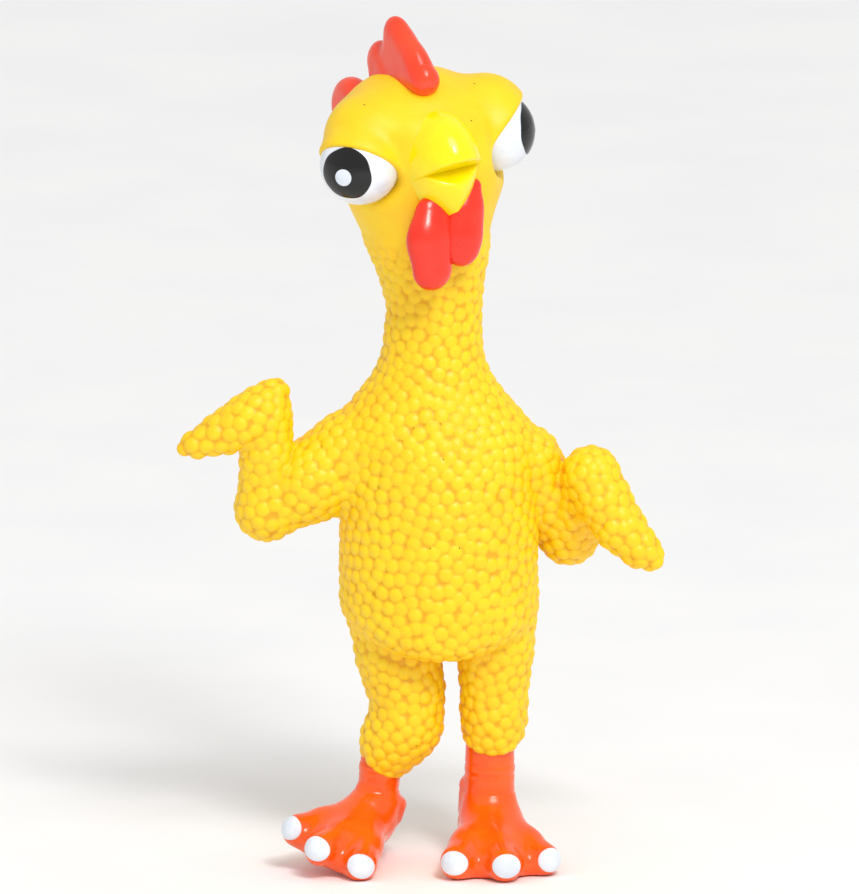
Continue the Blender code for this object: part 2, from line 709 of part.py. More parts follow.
def build_squeaker():
    """A flanged case plugged into the moulded ring, with its grille, reed block and reed."""
    x, z = SQUEAKER_CENTRE
    back = Vector((0, 1, 0))
    outer, bore = SEAT_RADIUS[0] - GAP, CASE_BORE
    flange, barb = SEAT_BACK + GAP, SEAT_FRONT - GAP
    profile = ((bore, 8.0), (outer - 0.4, 8.0), (outer - 0.4, barb - 2.4), (outer + 1.2, barb), (outer, barb + 0.01),
               (outer, flange), (outer + 2.0, flange), (outer + 1.6, flange + 1.6), (bore, flange + 1.6))
    case = turned(profile, at(x, 0, z), back, 20)
    add("squeaker_case", case, PLASTIC, "torso")

    fit = bore - GAP
    grille_front, grille_back = flange - 0.4, flange + 0.9
    grille = add("squeaker_grille", rod(at(x, grille_front, z), at(x, grille_back, z), fit, 20),
                 PLASTIC, "torso")
    for number in range(7):
        angle = math.radians(60 * number)
        reach = 0.0 if number == 6 else 3.9
        hole_x, hole_z = x + reach * math.cos(angle), z + reach * math.sin(angle)
        name = f"grille_hole_{number}"
        hole = rod(at(hole_x, grille_front - 2, hole_z), at(hole_x, grille_back + 2, hole_z), 1.0, 8)
        boolean(grille, "DIFFERENCE", cutter(name, hole))

    seat = add("reed_block", rod(at(x, 12.9, z), at(x, 15.4, z), fit, 20), PLASTIC, "torso")
    slot = block(at(x, 14.0, z), (2.2, 8.0, 8.4))
    boolean(seat, "DIFFERENCE", cutter("reed_slot", slot))
    reed = block(at(x, 12.4, z), (2.8, 0.3, 10.4))
    add("squeaker_reed", reed, BRASS, "reed")


build_torso()
build_belly()
build_neck()
build_head()
build_beak()
build_comb()
build_wattles()
for wing in WINGS:
    build_wing(wing)
build_legs()
build_foot_clearances()
build_feet()
build_squeaker()
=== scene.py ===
"""Rubber chicken: the painted latex skin, its pebbles, the feet, the face and the squeaker's plastic.

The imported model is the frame: its bodies, joints and nodes give every place. The skin is sculpted as
one soft form, covered with moulded pebbles, and then divided where the toy bends.
"""

import itertools
import json
import math
from functools import partial

import bpy
import numpy as np
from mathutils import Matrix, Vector
from mathutils.kdtree import KDTree


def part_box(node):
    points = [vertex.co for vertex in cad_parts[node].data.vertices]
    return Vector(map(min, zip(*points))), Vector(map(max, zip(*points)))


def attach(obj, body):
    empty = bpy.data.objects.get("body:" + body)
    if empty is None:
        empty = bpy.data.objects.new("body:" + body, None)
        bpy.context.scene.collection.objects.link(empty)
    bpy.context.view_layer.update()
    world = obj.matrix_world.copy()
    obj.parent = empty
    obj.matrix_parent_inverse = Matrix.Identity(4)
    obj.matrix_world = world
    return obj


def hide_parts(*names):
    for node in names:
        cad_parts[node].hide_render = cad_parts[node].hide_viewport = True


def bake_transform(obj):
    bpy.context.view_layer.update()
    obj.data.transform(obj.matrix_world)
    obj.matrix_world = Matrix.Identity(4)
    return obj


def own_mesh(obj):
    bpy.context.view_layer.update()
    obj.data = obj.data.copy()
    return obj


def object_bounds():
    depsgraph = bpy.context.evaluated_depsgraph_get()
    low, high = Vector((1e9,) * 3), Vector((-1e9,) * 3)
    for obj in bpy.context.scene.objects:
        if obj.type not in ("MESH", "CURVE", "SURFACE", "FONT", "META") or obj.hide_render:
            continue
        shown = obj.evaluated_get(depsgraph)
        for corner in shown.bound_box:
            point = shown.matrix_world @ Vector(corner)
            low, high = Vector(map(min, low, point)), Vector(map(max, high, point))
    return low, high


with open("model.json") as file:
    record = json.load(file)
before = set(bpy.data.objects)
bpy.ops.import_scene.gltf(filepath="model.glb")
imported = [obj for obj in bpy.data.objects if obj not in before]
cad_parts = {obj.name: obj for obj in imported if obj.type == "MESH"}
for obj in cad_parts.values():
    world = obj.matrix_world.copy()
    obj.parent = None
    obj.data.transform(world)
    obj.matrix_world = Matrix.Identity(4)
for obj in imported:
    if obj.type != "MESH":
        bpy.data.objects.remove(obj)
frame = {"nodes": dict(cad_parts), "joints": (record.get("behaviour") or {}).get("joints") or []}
CAD_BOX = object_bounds()

bl_info = {
    "name": "Rubber Chicken Looks",
    "version": (1, 0, 0),
    "blender": (4, 5, 0),
    "location": "3D View > Sidebar > Rubber Chicken",
    "description": "Builds the skin, face, feet and finishes of a latex squeeze toy round its frame",
    "category": "Object",
}

MM = 0.001
JOINTS = {joint["name"]: joint for joint in frame["joints"]}
# The sculpting is in millimetres from a point on the ground between the feet. The neck's lower joint
# is at a known place there, which ties it to the frame.
SHIFT = np.array(JOINTS["neck_nod"]["pos_m"]) / MM - np.array((-2.4, 0.5, 138.7))


def joint_place(name):
    """A joint's place in the sculpting's millimetres."""
    return np.array(JOINTS[name]["pos_m"]) / MM - SHIFT


def to_world(points):
    """Sculpting millimetres to the frame's metres."""
    return (np.asarray(points, dtype=float) + SHIFT) * MM


def unit(vector):
    """The same direction with a length of one."""
    vector = np.asarray(vector, dtype=float)
    return vector / np.linalg.norm(vector)


def ramp(values, start, width):
    """Nothing up to a start, rising to one over a width."""
    return np.clip((values - start) / width, 0.0, 1.0)


# The head looks to its left and leans. Its own three directions meet midway between the eyes.
HEAD_AHEAD = unit((0.4695, -0.8829, 0.0))
HEAD_LEFT = unit((0.8764, 0.4660, 0.1219))
HEAD_UP = np.cross(HEAD_AHEAD, HEAD_LEFT)
BETWEEN_EYES = np.array((-4.3, -4.45, 193.25))


# ---------------------------------------------------------------- soft forms

def from_head(ahead, left, up):
    """A place given in the head's own directions."""
    return BETWEEN_EYES + HEAD_AHEAD * ahead + HEAD_LEFT * left + HEAD_UP * up


def in_head(points):
    """Places as distances ahead, to the left and up in the head's own directions."""
    moved = points - BETWEEN_EYES
    return np.stack((moved @ HEAD_AHEAD, moved @ HEAD_LEFT, moved @ HEAD_UP), axis=1)


def merge(a, b, soft):
    """Two forms joined, with a fillet between them."""
    share = np.clip(0.5 + 0.5 * (b - a) / soft, 0.0, 1.0)
    return b + (a - b) * share - soft * share * (1.0 - share)


def shared(a, b, soft):
    """What two forms have in common, with a rounded edge."""
    return -merge(-a, -b, soft)


def capsule(points, start, end, start_radius, end_radius):
    """A straight limb with round ends."""
    start, end = np.asarray(start, dtype=float), np.asarray(end, dtype=float)
    line = end - start
    along = np.clip(((points - start) @ line) / (line @ line), 0.0, 1.0)
    centre = start + along[:, None] * line
    gap = points - centre
    return np.sqrt((gap * gap).sum(axis=1)) - (start_radius + (end_radius - start_radius) * along)


def chain(points, stations, soft):
    """Limbs from station to station. A station is a place and a radius."""
    form = None
    for (start, start_radius), (end, end_radius) in zip(stations, stations[1:]):
        limb = capsule(points, start, end, start_radius, end_radius)
        form = limb if form is None else merge(form, limb, soft)
    return form


def egg(points, centre, radii, axes=None):
    """An ellipsoid on its own three directions."""
    moved = points - np.asarray(centre, dtype=float)
    if axes is not None:
        moved = moved @ np.asarray(axes).T
    scaled = moved / radii
    reach = np.sqrt((scaled * scaled).sum(axis=1)) + 1e-9
    slope = np.sqrt(((scaled / radii) ** 2).sum(axis=1)) + 1e-9
    return reach * (reach - 1.0) / slope


def beyond(points, place, outward):
    """Distance past a plane."""
    return (points - np.asarray(place, dtype=float)) @ np.asarray(outward, dtype=float)


def blade(across, up, aside, circles, half, swell, soft):
    """A flat lobe: an outline of joined circles that swells to a thickness over a width."""
    flat = np.stack((across, up, np.zeros_like(up)), axis=1)
    stations = [((a, u, 0.0), radius) for a, u, radius in circles]
    outline = np.maximum(chain(flat, stations, soft) + swell, 0.0)
    return (np.sqrt(outline ** 2 + (aside * swell / half) ** 2) - swell) * 0.7


# ---------------------------------------------------------------- the sculpted body

# Height, middle in X and Y, half width and half depth of the trunk, from the crotch to the crown.
TRUNK = np.array((
    (50.0, 0.2, 0.5, 23.2, 18.0), (57.0, 0.2, 0.3, 24.2, 19.4), (63.0, -0.3, 0.0, 25.3, 20.4),
    (70.0, -0.7, 0.0, 26.0, 20.9), (80.0, -0.9, 0.0, 25.8, 21.0), (90.0, -0.8, 0.0, 25.8, 20.8),
    (100.0, -0.6, 0.1, 26.0, 20.3), (108.0, -0.6, 0.2, 26.2, 19.7), (114.0, -0.9, 0.4, 26.0, 18.6),
    (118.5, -1.7, 0.5, 25.0, 17.2), (122.0, -2.5, 0.5, 22.9, 16.0), (125.3, -2.8, 0.5, 20.2, 14.8),
    (128.5, -2.8, 0.5, 17.6, 13.9), (131.8, -2.6, 0.5, 15.3, 13.2), (135.0, -2.6, 0.5, 13.9, 12.8),
    (138.3, -2.5, 0.5, 12.9, 12.5), (144.8, -2.3, 0.5, 12.4, 12.2), (150.0, -2.0, 0.5, 12.1, 12.1),
    (154.6, -2.4, 0.5, 12.8, 12.3), (158.0, -2.7, 0.5, 13.4, 12.7), (161.2, -2.9, 0.5, 14.2, 13.2),
    (164.4, -3.3, 0.6, 15.3, 14.0), (167.7, -3.9, 0.6, 16.4, 15.1), (171.0, -4.4, 0.7, 17.1, 16.3),
    (174.2, -4.8, 0.7, 18.3, 17.4), (177.5, -5.1, 0.7, 19.5, 18.6), (180.7, -5.2, 0.7, 20.7, 19.8),
    (185.0, -5.2, 0.6, 22.0, 21.2), (192.0, -5.3, 0.6, 23.4, 22.5), (200.0, -5.5, 0.6, 23.6, 22.2),
    (206.0, -5.6, 0.6, 22.5, 20.8),
))
CROWN = ((-6.6, 0.6, 197.0), (22.2, 22.0, 18.2))      # the top of the head: its middle and radii
EYE_RADIUS = 10.6
# Each eye's middle, and how many degrees to the left of ahead its socket faces.
EYES = {"right": ((-21.7, -16.2, 191.9), -48.0), "left": ((14.0, -0.5, 197.9), 48.0)}
# Each brow's middle, in the head's own directions, and its radius.
BROWS = {"right": ((-2.4, -14.7, 5.7), 12.5), "left": ((0.6, 17.9, 5.0), 12.4)}
LIDS = {"right": (0.88, 0.0), "left": (1.05, 0.6)}   # how far each lid leans back, and its height

# The limbs, as places along each with the radius there.
RIGHT_ARM = (((-24.5, 0, 110.2), 11.2), ((-34.2, -1, 103.4), 10.0), ((-46.5, -2, 95.8), 7.7))
RIGHT_FOREARM = (((-46.5, -2, 95.8), 7.7), ((-46.4, -3, 110), 6.5), ((-46.4, -3.5, 121), 6.2))
RIGHT_HAND = (((-44.4, -3.5, 127.6), 3.4), ((-47.2, -3.8, 123.6), 5.8), ((-52.1, -4.3, 119.8), 6.1),
              ((-58.5, -5.0, 116.9), 4.7), ((-65.0, -5.7, 114.3), 2.9), ((-68.0, -6, 113.5), 1.7))
LEFT_ARM = (((22.5, 1.5, 108.5), 8.7), ((33.8, 8.5, 86.8), 7.3))
LEFT_FOREARM = (((33.8, 8.5, 86.8), 7.5), ((39.6, -3, 105.3), 6.8))
LEFT_HAND = (((39.6, -3, 105.3), 6.9), ((43, -4.5, 98.5), 6.5), ((47.5, -6, 91.5), 5.8),
             ((52.5, -7.3, 86.3), 4.4), ((55.8, -8, 83.8), 2.8))

RIGHT_THIGH = (((-13.4, 0, 66), 11.2), ((-11.7, 0, 56), 10.2), ((-10.0, 0, 47.5), 9.2),
               ((-9.0, 0, 43.5), 8.4))
RIGHT_CALF = (((-9.8, 0, 38.6), 9.4), ((-13.2, 0, 31.7), 7.8), ((-15.8, 0, 26.0), 5.8))
RIGHT_INNER = (((-8.6, -0.8, 47), 8.2), ((-9.4, -0.8, 36), 8.8))
LEFT_THIGH = (((14.2, 0, 66), 10.6), ((14.2, 0, 57), 9.3), ((14.0, 0, 50), 8.4),
              ((13.9, 0, 43), 7.9), ((13.9, 0, 38.5), 7.8), ((13.6, 0, 33), 6.8), ((13.4, 0, 26), 6.2))


def trunk_field(points):
    """Belly, chest, neck and skull, before the limbs are joined on."""
    heights = np.arange(46.0, 210.0, 0.5)
    window = np.hanning(11)
    window = window / window.sum()
    smooth = []
    for column in range(1, 5):
        values = np.interp(heights, TRUNK[:, 0], TRUNK[:, column])
        padded = np.concatenate((np.full(5, values[0]), values, np.full(5, values[-1])))
        smooth.append(np.convolve(padded, window, "valid"))
    middle_x, middle_y, wide, deep = [np.interp(points[:, 2], heights, values) for values in smooth]
    reach = np.sqrt(((points[:, 0] - middle_x) / wide) ** 2 + ((points[:, 1] - middle_y) / deep) ** 2)
    loft = (reach - 1.0) * np.minimum(wide, deep)
    loft = shared(loft, points[:, 2] - 203.0, 4.0)
    under = 57.6 + 0.0115 * (points[:, 0] + 0.5) ** 2 - points[:, 2]
    loft = shared(loft, under * 0.9, 5.0)
    skull = egg(points, *CROWN)
    return merge(loft, skull, 5.0)


def lid_plane(side, points):
    """Distance in front of the plane along which a brow ends over its eye."""
    centre, angle = EYES[side]
    gaze = gaze_of(side)
    inward = HEAD_LEFT * math.cos(math.radians(angle)) - HEAD_AHEAD * math.sin(math.radians(angle))
    inward = inward if side == "right" else -inward
    lean, height = LIDS[side]
    facing = unit(lean * gaze - 0.183 * inward - HEAD_UP)
    return beyond(points, np.asarray(centre) + facing * height, facing)


def gaze_of(side):
    """The way an eye's socket faces."""
    angle = math.radians(EYES[side][1])
    return HEAD_AHEAD * math.cos(angle) + HEAD_LEFT * math.sin(angle)


def head_field(points, trunk):
    """The trunk with its brows, which end in a soft edge over the eyes."""
    for side, (place, radius) in BROWS.items():
        hollow = egg(points, np.asarray(EYES[side][0]) + gaze_of(side) * 4.5, np.full(3, 12.6))
        trunk = shared(trunk, -hollow, 3.0)
        brow = egg(points, from_head(*place), np.full(3, radius))
        lid = egg(points, EYES[side][0], np.full(3, EYE_RADIUS + 0.9))
        brow = merge(brow, lid, 2.0)
        brow = shared(brow, lid_plane(side, points), 1.2)
        trunk = merge(trunk, brow, 3.2)
        socket = egg(points, EYES[side][0], np.full(3, EYE_RADIUS - 0.6))
        trunk = shared(trunk, -socket, 0.4)
    return trunk


def cuff(points, thigh, place, outward):
    """A trouser-like leg that ends at a slanting edge."""
    return shared(thigh, beyond(points, place, unit(outward)), 1.2)


def limb_fields(points):
    """Each limb by name, before it is joined on."""
    right_leg = merge(chain(points, RIGHT_THIGH, 3.0), chain(points, RIGHT_CALF, 3.0), 0.9)
    right_leg = merge(right_leg, chain(points, RIGHT_INNER, 2.0), 2.5)
    right_leg = cuff(points, right_leg, (-16.3, 0.0, 26.6), (-0.48, 0.36, -0.80))
    left_leg = cuff(points, chain(points, LEFT_THIGH, 2.5), (13.4, 0.0, 33.4), (0.0, 0.48, -0.86))
    right_fore = merge(chain(points, RIGHT_FOREARM, 2.0), chain(points, RIGHT_HAND, 2.5), 1.6)
    left_fore = merge(chain(points, LEFT_FOREARM, 2.0), chain(points, LEFT_HAND, 2.5), 1.6)
    return {
        "right_wing": merge(chain(points, RIGHT_ARM, 3.0), right_fore, 1.6),
        "left_wing": merge(chain(points, LEFT_ARM, 3.0), left_fore, 1.6),
        "right_leg": right_leg,
        "left_leg": left_leg,
    }


# The fillet where each limb joins the body, in millimetres.
JOIN_SOFT = {"right_wing": 3.0, "left_wing": 1.6, "right_leg": 1.3, "left_leg": 1.3}


def skin_field(points):
    """The whole yellow skin."""
    form = head_field(points, trunk_field(points))
    for name, limb in limb_fields(points).items():
        form = merge(form, limb, JOIN_SOFT[name])
    return form


# ---------------------------------------------------------------- forms to meshes

def surface_net(field, low, high, step):
    """A mesh of four-sided faces over the surface where a field is zero, facing out."""
    axes = [np.arange(low[i], high[i] + step, step) for i in range(3)]
    shape = tuple(len(axis) for axis in axes)
    coarse = 6
    near = np.zeros(shape, dtype=bool)
    values = np.full(shape, 50.0)
    middles = [axis[coarse // 2::coarse] for axis in axes]
    grid = np.stack(np.meshgrid(*middles, indexing="ij"), axis=-1).reshape(-1, 3)
    rough = field(grid).reshape([len(middle) for middle in middles])
    reach = step * coarse * 1.45
    for i, j, k in np.argwhere(np.abs(rough) < reach):
        corner = (slice(i * coarse, (i + 1) * coarse + 1), slice(j * coarse, (j + 1) * coarse + 1),
                  slice(k * coarse, (k + 1) * coarse + 1))
        near[corner] = True
    block = np.kron(rough < 0, np.ones((coarse,) * 3, dtype=bool))
    inside_block = np.zeros(shape, dtype=bool)
    fit = tuple(slice(0, min(a, b)) for a, b in zip(shape, block.shape))
    inside_block[fit] = block[fit]
    values[inside_block] = -50.0
    index = np.argwhere(near)
    places = np.stack([axes[i][index[:, i]] for i in range(3)], axis=1)
    values[near] = field(places)

    cells = tuple(n - 1 for n in shape)
    total = cells[0] * cells[1] * cells[2]
    sums = np.zeros((3, total))
    counts = np.zeros(total)
    faces = []
    for axis in range(3):
        first = [slice(None)] * 3
        second = [slice(None)] * 3
        first[axis] = slice(0, -1)
        second[axis] = slice(1, None)
        start, end = values[tuple(first)], values[tuple(second)]
        known = near[tuple(first)] & near[tuple(second)]
        crossed = ((start < 0) != (end < 0)) & known
        edge = np.argwhere(crossed)
        one, two = [a for a in range(3) if a != axis]
        keep = (edge[:, one] > 0) & (edge[:, two] > 0)
        keep &= (edge[:, one] < cells[one]) & (edge[:, two] < cells[two])
        edge = edge[keep]
        a, b = start[crossed][keep], end[crossed][keep]
        point = np.stack([axes[i][edge[:, i]] for i in range(3)], axis=1)
        point[:, axis] += a / (a - b) * step
        corners = []
        for shift_one, shift_two in ((0, 0), (-1, 0), (-1, -1), (0, -1)):
            cell = edge.copy()
            cell[:, one] += shift_one
            cell[:, two] += shift_two
            flat = (cell[:, 0] * cells[1] + cell[:, 1]) * cells[2] + cell[:, 2]
            corners.append(flat)
            counts += np.bincount(flat, minlength=total)
            for i in range(3):
                sums[i] += np.bincount(flat, weights=point[:, i], minlength=total)
        quad = np.stack(corners, axis=1)
        turn = (a < 0) != (axis == 1)
        quad[~turn] = quad[~turn][:, ::-1]
        faces.append(quad)
    used = counts > 0
    number = np.cumsum(used) - 1
    vertices = (sums[:, used] / counts[used]).T
    return vertices, number[np.concatenate(faces)]


def settle(field, vertices, rounds=3, reach=0.02):
    """Move points on to the surface along its slope."""
    for _ in range(rounds):
        slope = np.empty_like(vertices)
        for i in range(3):
            step = np.zeros(3)
            step[i] = reach
            slope[:, i] = (field(vertices + step) - field(vertices - step)) / (2 * reach)
        size = (slope * slope).sum(axis=1)
        move = field(vertices) / np.maximum(size, 0.05)
        vertices = vertices - np.clip(move, -0.6, 0.6)[:, None] * slope
    return vertices


def split_faces(vertices, quads):
    """Each four-sided face made into four."""
    edges = np.concatenate([quads[:, [i, (i + 1) % 4]] for i in range(4)])
    low_high = np.sort(edges, axis=1)
    unique, place = np.unique(low_high, axis=0, return_inverse=True)
    place = place.reshape(4, -1).T + len(vertices)
    middles = (vertices[unique[:, 0]] + vertices[unique[:, 1]]) / 2
    centres = vertices[quads].mean(axis=1)
    centre = np.arange(len(quads)) + len(vertices) + len(unique)
    parts = [np.stack((quads[:, i], place[:, i], centre, place[:, i - 1]), axis=1) for i in range(4)]
    return np.concatenate((vertices, middles, centres)), np.concatenate(parts)


def fill_mesh(name, places, corners, starts, values):
    """A smooth Blender mesh from points in metres, the corners of its faces in one row, where each
    face starts in that row, and any values kept at its points."""
    mesh = bpy.data.meshes.new(name)
    mesh.vertices.add(len(places))
    mesh.vertices.foreach_set("co", places.astype(np.float32).ravel())
    mesh.loops.add(len(corners))
    mesh.loops.foreach_set("vertex_index", corners.astype(np.int32))
    mesh.polygons.add(len(starts))
    mesh.polygons.foreach_set("loop_start", starts.astype(np.int32))
    mesh.update(calc_edges=True)
    for key, numbers in values.items():
        kept = mesh.attributes.new(key, "FLOAT", "POINT")
        kept.data.foreach_set("value", numbers.astype(np.float32))
    mesh.shade_smooth()
    return mesh


def to_mesh(name, vertices, faces, values=None):
    """A Blender mesh from sculpted points and faces, with any values kept at its points."""
    starts = np.arange(0, faces.size, faces.shape[1])
    return fill_mesh(name, to_world(vertices), faces.ravel(), starts, values or {})


def add_piece(name, mesh, material=None):
    """Link a mesh as an object at the origin."""
    piece = bpy.data.objects.new(name, mesh)
    bpy.context.scene.collection.objects.link(piece)
    if material:
        mesh.materials.append(material)
    return piece


def sculpted_piece(name, field, low, high, step, material):
    """A smooth piece over a form, sculpted within a box, with all sizes in millimetres."""
    vertices, quads = surface_net(field, low, high, step)
    vertices, quads = split_faces(settle(field, vertices), quads)
    return add_piece(name, to_mesh(name, settle(field, vertices, 2), quads), material)


def close_loops(vertices, faces):
    """Triangles over every open edge of a piece, each ring closed round its own middle."""
    count = faces.shape[1]
    edges = np.concatenate([faces[:, [i, (i + 1) % count]] for i in range(count)])
    size = len(vertices) + 1
    codes = edges[:, 0] * size + edges[:, 1]
    opposite = edges[:, 1] * size + edges[:, 0]
    open_edges = edges[~np.isin(codes, opposite)]
    follow = {}
    for start, end in open_edges:
        follow.setdefault(int(start), []).append(int(end))
    extra, caps = [], []
    while follow:
        start = next(iter(follow))
        ring = [start]
        place = start
        while True:
            ends = follow[place]
            after = ends.pop()
            if not ends:
                del follow[place]
            if after == start or after not in follow:
                break
            ring.append(after)
            place = after
        middle = len(vertices) + len(extra)
        extra.append(vertices[ring].mean(axis=0))
        caps += [(ring[(i + 1) % len(ring)], ring[i], middle) for i in range(len(ring))]
    return np.array(extra).reshape(-1, 3), np.array(caps, dtype=int).reshape(-1, 3)


def carve(name, vertices, normals, quads, picked, material, values):
    """One closed piece cut from a whole skin, which keeps the whole skin's shading at its seams."""
    faces = quads[picked]
    used = np.unique(faces)
    number = np.full(len(vertices), -1)
    number[used] = np.arange(len(used))
    faces = number[faces]
    points = vertices[used]
    extra, caps = close_loops(points, faces)
    places = np.concatenate((points, extra))
    corners = np.concatenate((faces.ravel(), caps.ravel()))
    starts = np.concatenate((np.arange(len(faces)) * 4, len(faces) * 4 + np.arange(len(caps)) * 3))
    full = {key: np.concatenate((numbers[used], np.zeros(len(extra)))) for key, numbers in values.items()}
    mesh = fill_mesh(name, places, corners, starts, full)
    shading = normals[used][faces.ravel()]
    if len(caps):
        a, b, c = places[caps[:, 0]], places[caps[:, 1]], places[caps[:, 2]]
        flat = np.cross(b - a, c - a)
        flat = flat / np.maximum(np.linalg.norm(flat, axis=1), 1e-12)[:, None]
        shading = np.concatenate((shading, np.repeat(flat, 3, axis=0)))
    mesh.normals_split_custom_set(shading.astype(float).tolist())
    return add_piece(name, mesh, material)


# ---------------------------------------------------------------- pebbles

BODY_PEBBLES = 1.84         # half the pebbles' spacing on the belly and back, in millimetres
CLOSEST_PEBBLES = 1.5       # smallest gap between two middles, in half spacings
SEARCH_CELL = 3.2           # wider than any such gap
EVENING_ROUNDS = 12
DOME_WIDTH = 1.24           # a dome's radius in half spacings, so that neighbours run together
DOME_FULLNESS = 0.85        # under one makes the tops fuller and the grooves narrower


def pebble_size(points):
    """Half the spacing of the pebbles at a place: larger on the hands, smaller on neck and legs."""
    hand = ramp(np.abs(points[:, 0] + 3.0), 46.0, 8.0)
    neck = ramp(points[:, 2], 128.0, 10.0)
    leg = ramp(-points[:, 2], -66.0, 10.0)
    return BODY_PEBBLES + 0.12 * hand - 0.10 * neck - 0.13 * leg


def crowded(place, gap, key, taken, vertices):
    """Whether a point that is already chosen lies closer to a place than a gap."""
    for step in itertools.product((-1, 0, 1), repeat=3):
        for chosen in taken.get((key[0] + step[0], key[1] + step[1], key[2] + step[2]), ()):
            away = vertices[chosen] - place
            if away @ away < gap * gap:
                return True
    return False


def scatter(vertices, seed):
    """Pebble middles over a skin: dropped at random no closer than a spacing, then evened out."""
    order = np.random.default_rng(seed).permutation(len(vertices))
    gaps = pebble_size(vertices) * CLOSEST_PEBBLES
    keys = [tuple(key) for key in np.floor(vertices / SEARCH_CELL).astype(int).tolist()]
    taken = {}
    chosen = []
    for i in order:
        if not crowded(vertices[i], gaps[i], keys[i], taken, vertices):
            taken.setdefault(keys[i], []).append(i)
            chosen.append(i)
    middles = vertices[chosen].copy()
    for _ in range(EVENING_ROUNDS):
        tree = KDTree(len(middles))
        for i, middle in enumerate(middles):
            tree.insert(middle, i)
        tree.balance()
        owner = np.array([tree.find(place)[1] for place in vertices])
        weight = np.maximum(np.bincount(owner, minlength=len(middles)), 1)
        for i in range(3):
            total = np.bincount(owner, weights=vertices[:, i], minlength=len(middles))
            middles[:, i] = np.where(total != 0, total / weight, middles[:, i])
    return settle(skin_field, middles, 4)


def add_node(tree, kind, settings=None, links=None):
    """Add a node, set its properties and sockets, and link its inputs from other nodes' sockets."""
    node = tree.nodes.new(kind)
    for key, value in (settings or {}).items():
        if isinstance(key, str) and hasattr(node, key):
            setattr(node, key, value)
        else:
            node.inputs[key].default_value = value
    for key, socket in (links or {}).items():
        tree.links.new(socket, node.inputs[key])
    return node


def pebble_tree():
    """Geometry nodes that raise a dome on a skin round every given point."""
    tree = bpy.data.node_groups.new("Pebbled skin", "GeometryNodeTree")
    face = tree.interface
    face.new_socket("Geometry", in_out="INPUT", socket_type="NodeSocketGeometry")
    for name, kind in (("Pebbles", "NodeSocketObject"), ("Rise", "NodeSocketFloat"),
                       ("Variation", "NodeSocketFloat"), ("Seed", "NodeSocketInt"),
                       ("Finish", "NodeSocketMaterial")):
        face.new_socket(name, in_out="INPUT", socket_type=kind)
    face.new_socket("Geometry", in_out="OUTPUT", socket_type="NodeSocketGeometry")
    start = add_node(tree, "NodeGroupInput").outputs
    points = add_node(tree, "GeometryNodeObjectInfo", links={"Object": start["Pebbles"]})
    place = add_node(tree, "GeometryNodeInputPosition").outputs[0]
    normal = add_node(tree, "GeometryNodeInputNormal").outputs["Normal"]
    nearest = add_node(tree, "GeometryNodeSampleNearest", {"domain": "POINT"},
                       {"Geometry": points.outputs["Geometry"], "Sample Position": place}).outputs[0]
    width = add_node(tree, "GeometryNodeInputNamedAttribute", {"data_type": "FLOAT", "Name": "size"})
    size = add_node(tree, "GeometryNodeSampleIndex", {"data_type": "FLOAT", "domain": "POINT"},
                    {"Geometry": points.outputs["Geometry"], "Value": width.outputs["Attribute"],
                     "Index": nearest}).outputs["Value"]
    middle = add_node(tree, "GeometryNodeSampleIndex", {"data_type": "FLOAT_VECTOR", "domain": "POINT"},
                      {"Geometry": points.outputs["Geometry"], "Value": place,
                       "Index": nearest}).outputs["Value"]
    away = add_node(tree, "ShaderNodeVectorMath", {"operation": "DISTANCE"}, {0: place, 1: middle})
    share = add_node(tree, "ShaderNodeMath", {"operation": "DIVIDE"},
                     {0: away.outputs["Value"], 1: size})
    square = add_node(tree, "ShaderNodeMath", {"operation": "POWER", 1: 2.0}, {0: share.outputs[0]})
    rest = add_node(tree, "ShaderNodeMath", {"operation": "SUBTRACT", "use_clamp": True, 0: 1.0},
                    {1: square.outputs[0]})
    dome = add_node(tree, "ShaderNodeMath", {"operation": "POWER", 1: DOME_FULLNESS}, {0: rest.outputs[0]})
    relief = add_node(tree, "GeometryNodeInputNamedAttribute", {"data_type": "FLOAT", "Name": "relief"})
    kept = add_node(tree, "ShaderNodeMath", {"operation": "MULTIPLY"},
                    {0: dome.outputs[0], 1: relief.outputs["Attribute"]})
    stored = add_node(tree, "GeometryNodeStoreNamedAttribute",
                      {"data_type": "FLOAT", "domain": "POINT", "Name": "pebble"},
                      {"Geometry": start["Geometry"], "Value": kept.outputs[0]})
    uneven = add_node(tree, "FunctionNodeRandomValue", {"data_type": "FLOAT"},
                      {"ID": nearest, "Seed": start["Seed"]})
    uneven_value = [socket for socket in uneven.outputs if socket.type == "VALUE" and socket.enabled][0]
    spread = add_node(tree, "ShaderNodeMath", {"operation": "MULTIPLY_ADD", 2: 1.0},
                      {0: uneven_value, 1: start["Variation"]})
    height = add_node(tree, "ShaderNodeMath", {"operation": "MULTIPLY"}, {0: size, 1: start["Rise"]})
    varied = add_node(tree, "ShaderNodeMath", {"operation": "MULTIPLY"},
                      {0: height.outputs[0], 1: spread.outputs[0]})
    lift = add_node(tree, "ShaderNodeMath", {"operation": "MULTIPLY"},
                    {0: varied.outputs[0], 1: kept.outputs[0]})
    offset = add_node(tree, "ShaderNodeVectorMath", {"operation": "SCALE"},
                      {0: normal, "Scale": lift.outputs[0]})
    moved = add_node(tree, "GeometryNodeSetPosition", {},
                     {"Geometry": stored.outputs["Geometry"], "Offset": offset.outputs[0]})
    real = add_node(tree, "GeometryNodeRealizeInstances", {}, {"Geometry": moved.outputs["Geometry"]})
    finish = add_node(tree, "GeometryNodeSetMaterial", {},
                      {"Geometry": real.outputs["Geometry"], "Material": start["Finish"]})
    add_node(tree, "NodeGroupOutput", {}, {"Geometry": finish.outputs["Geometry"]})
    return tree


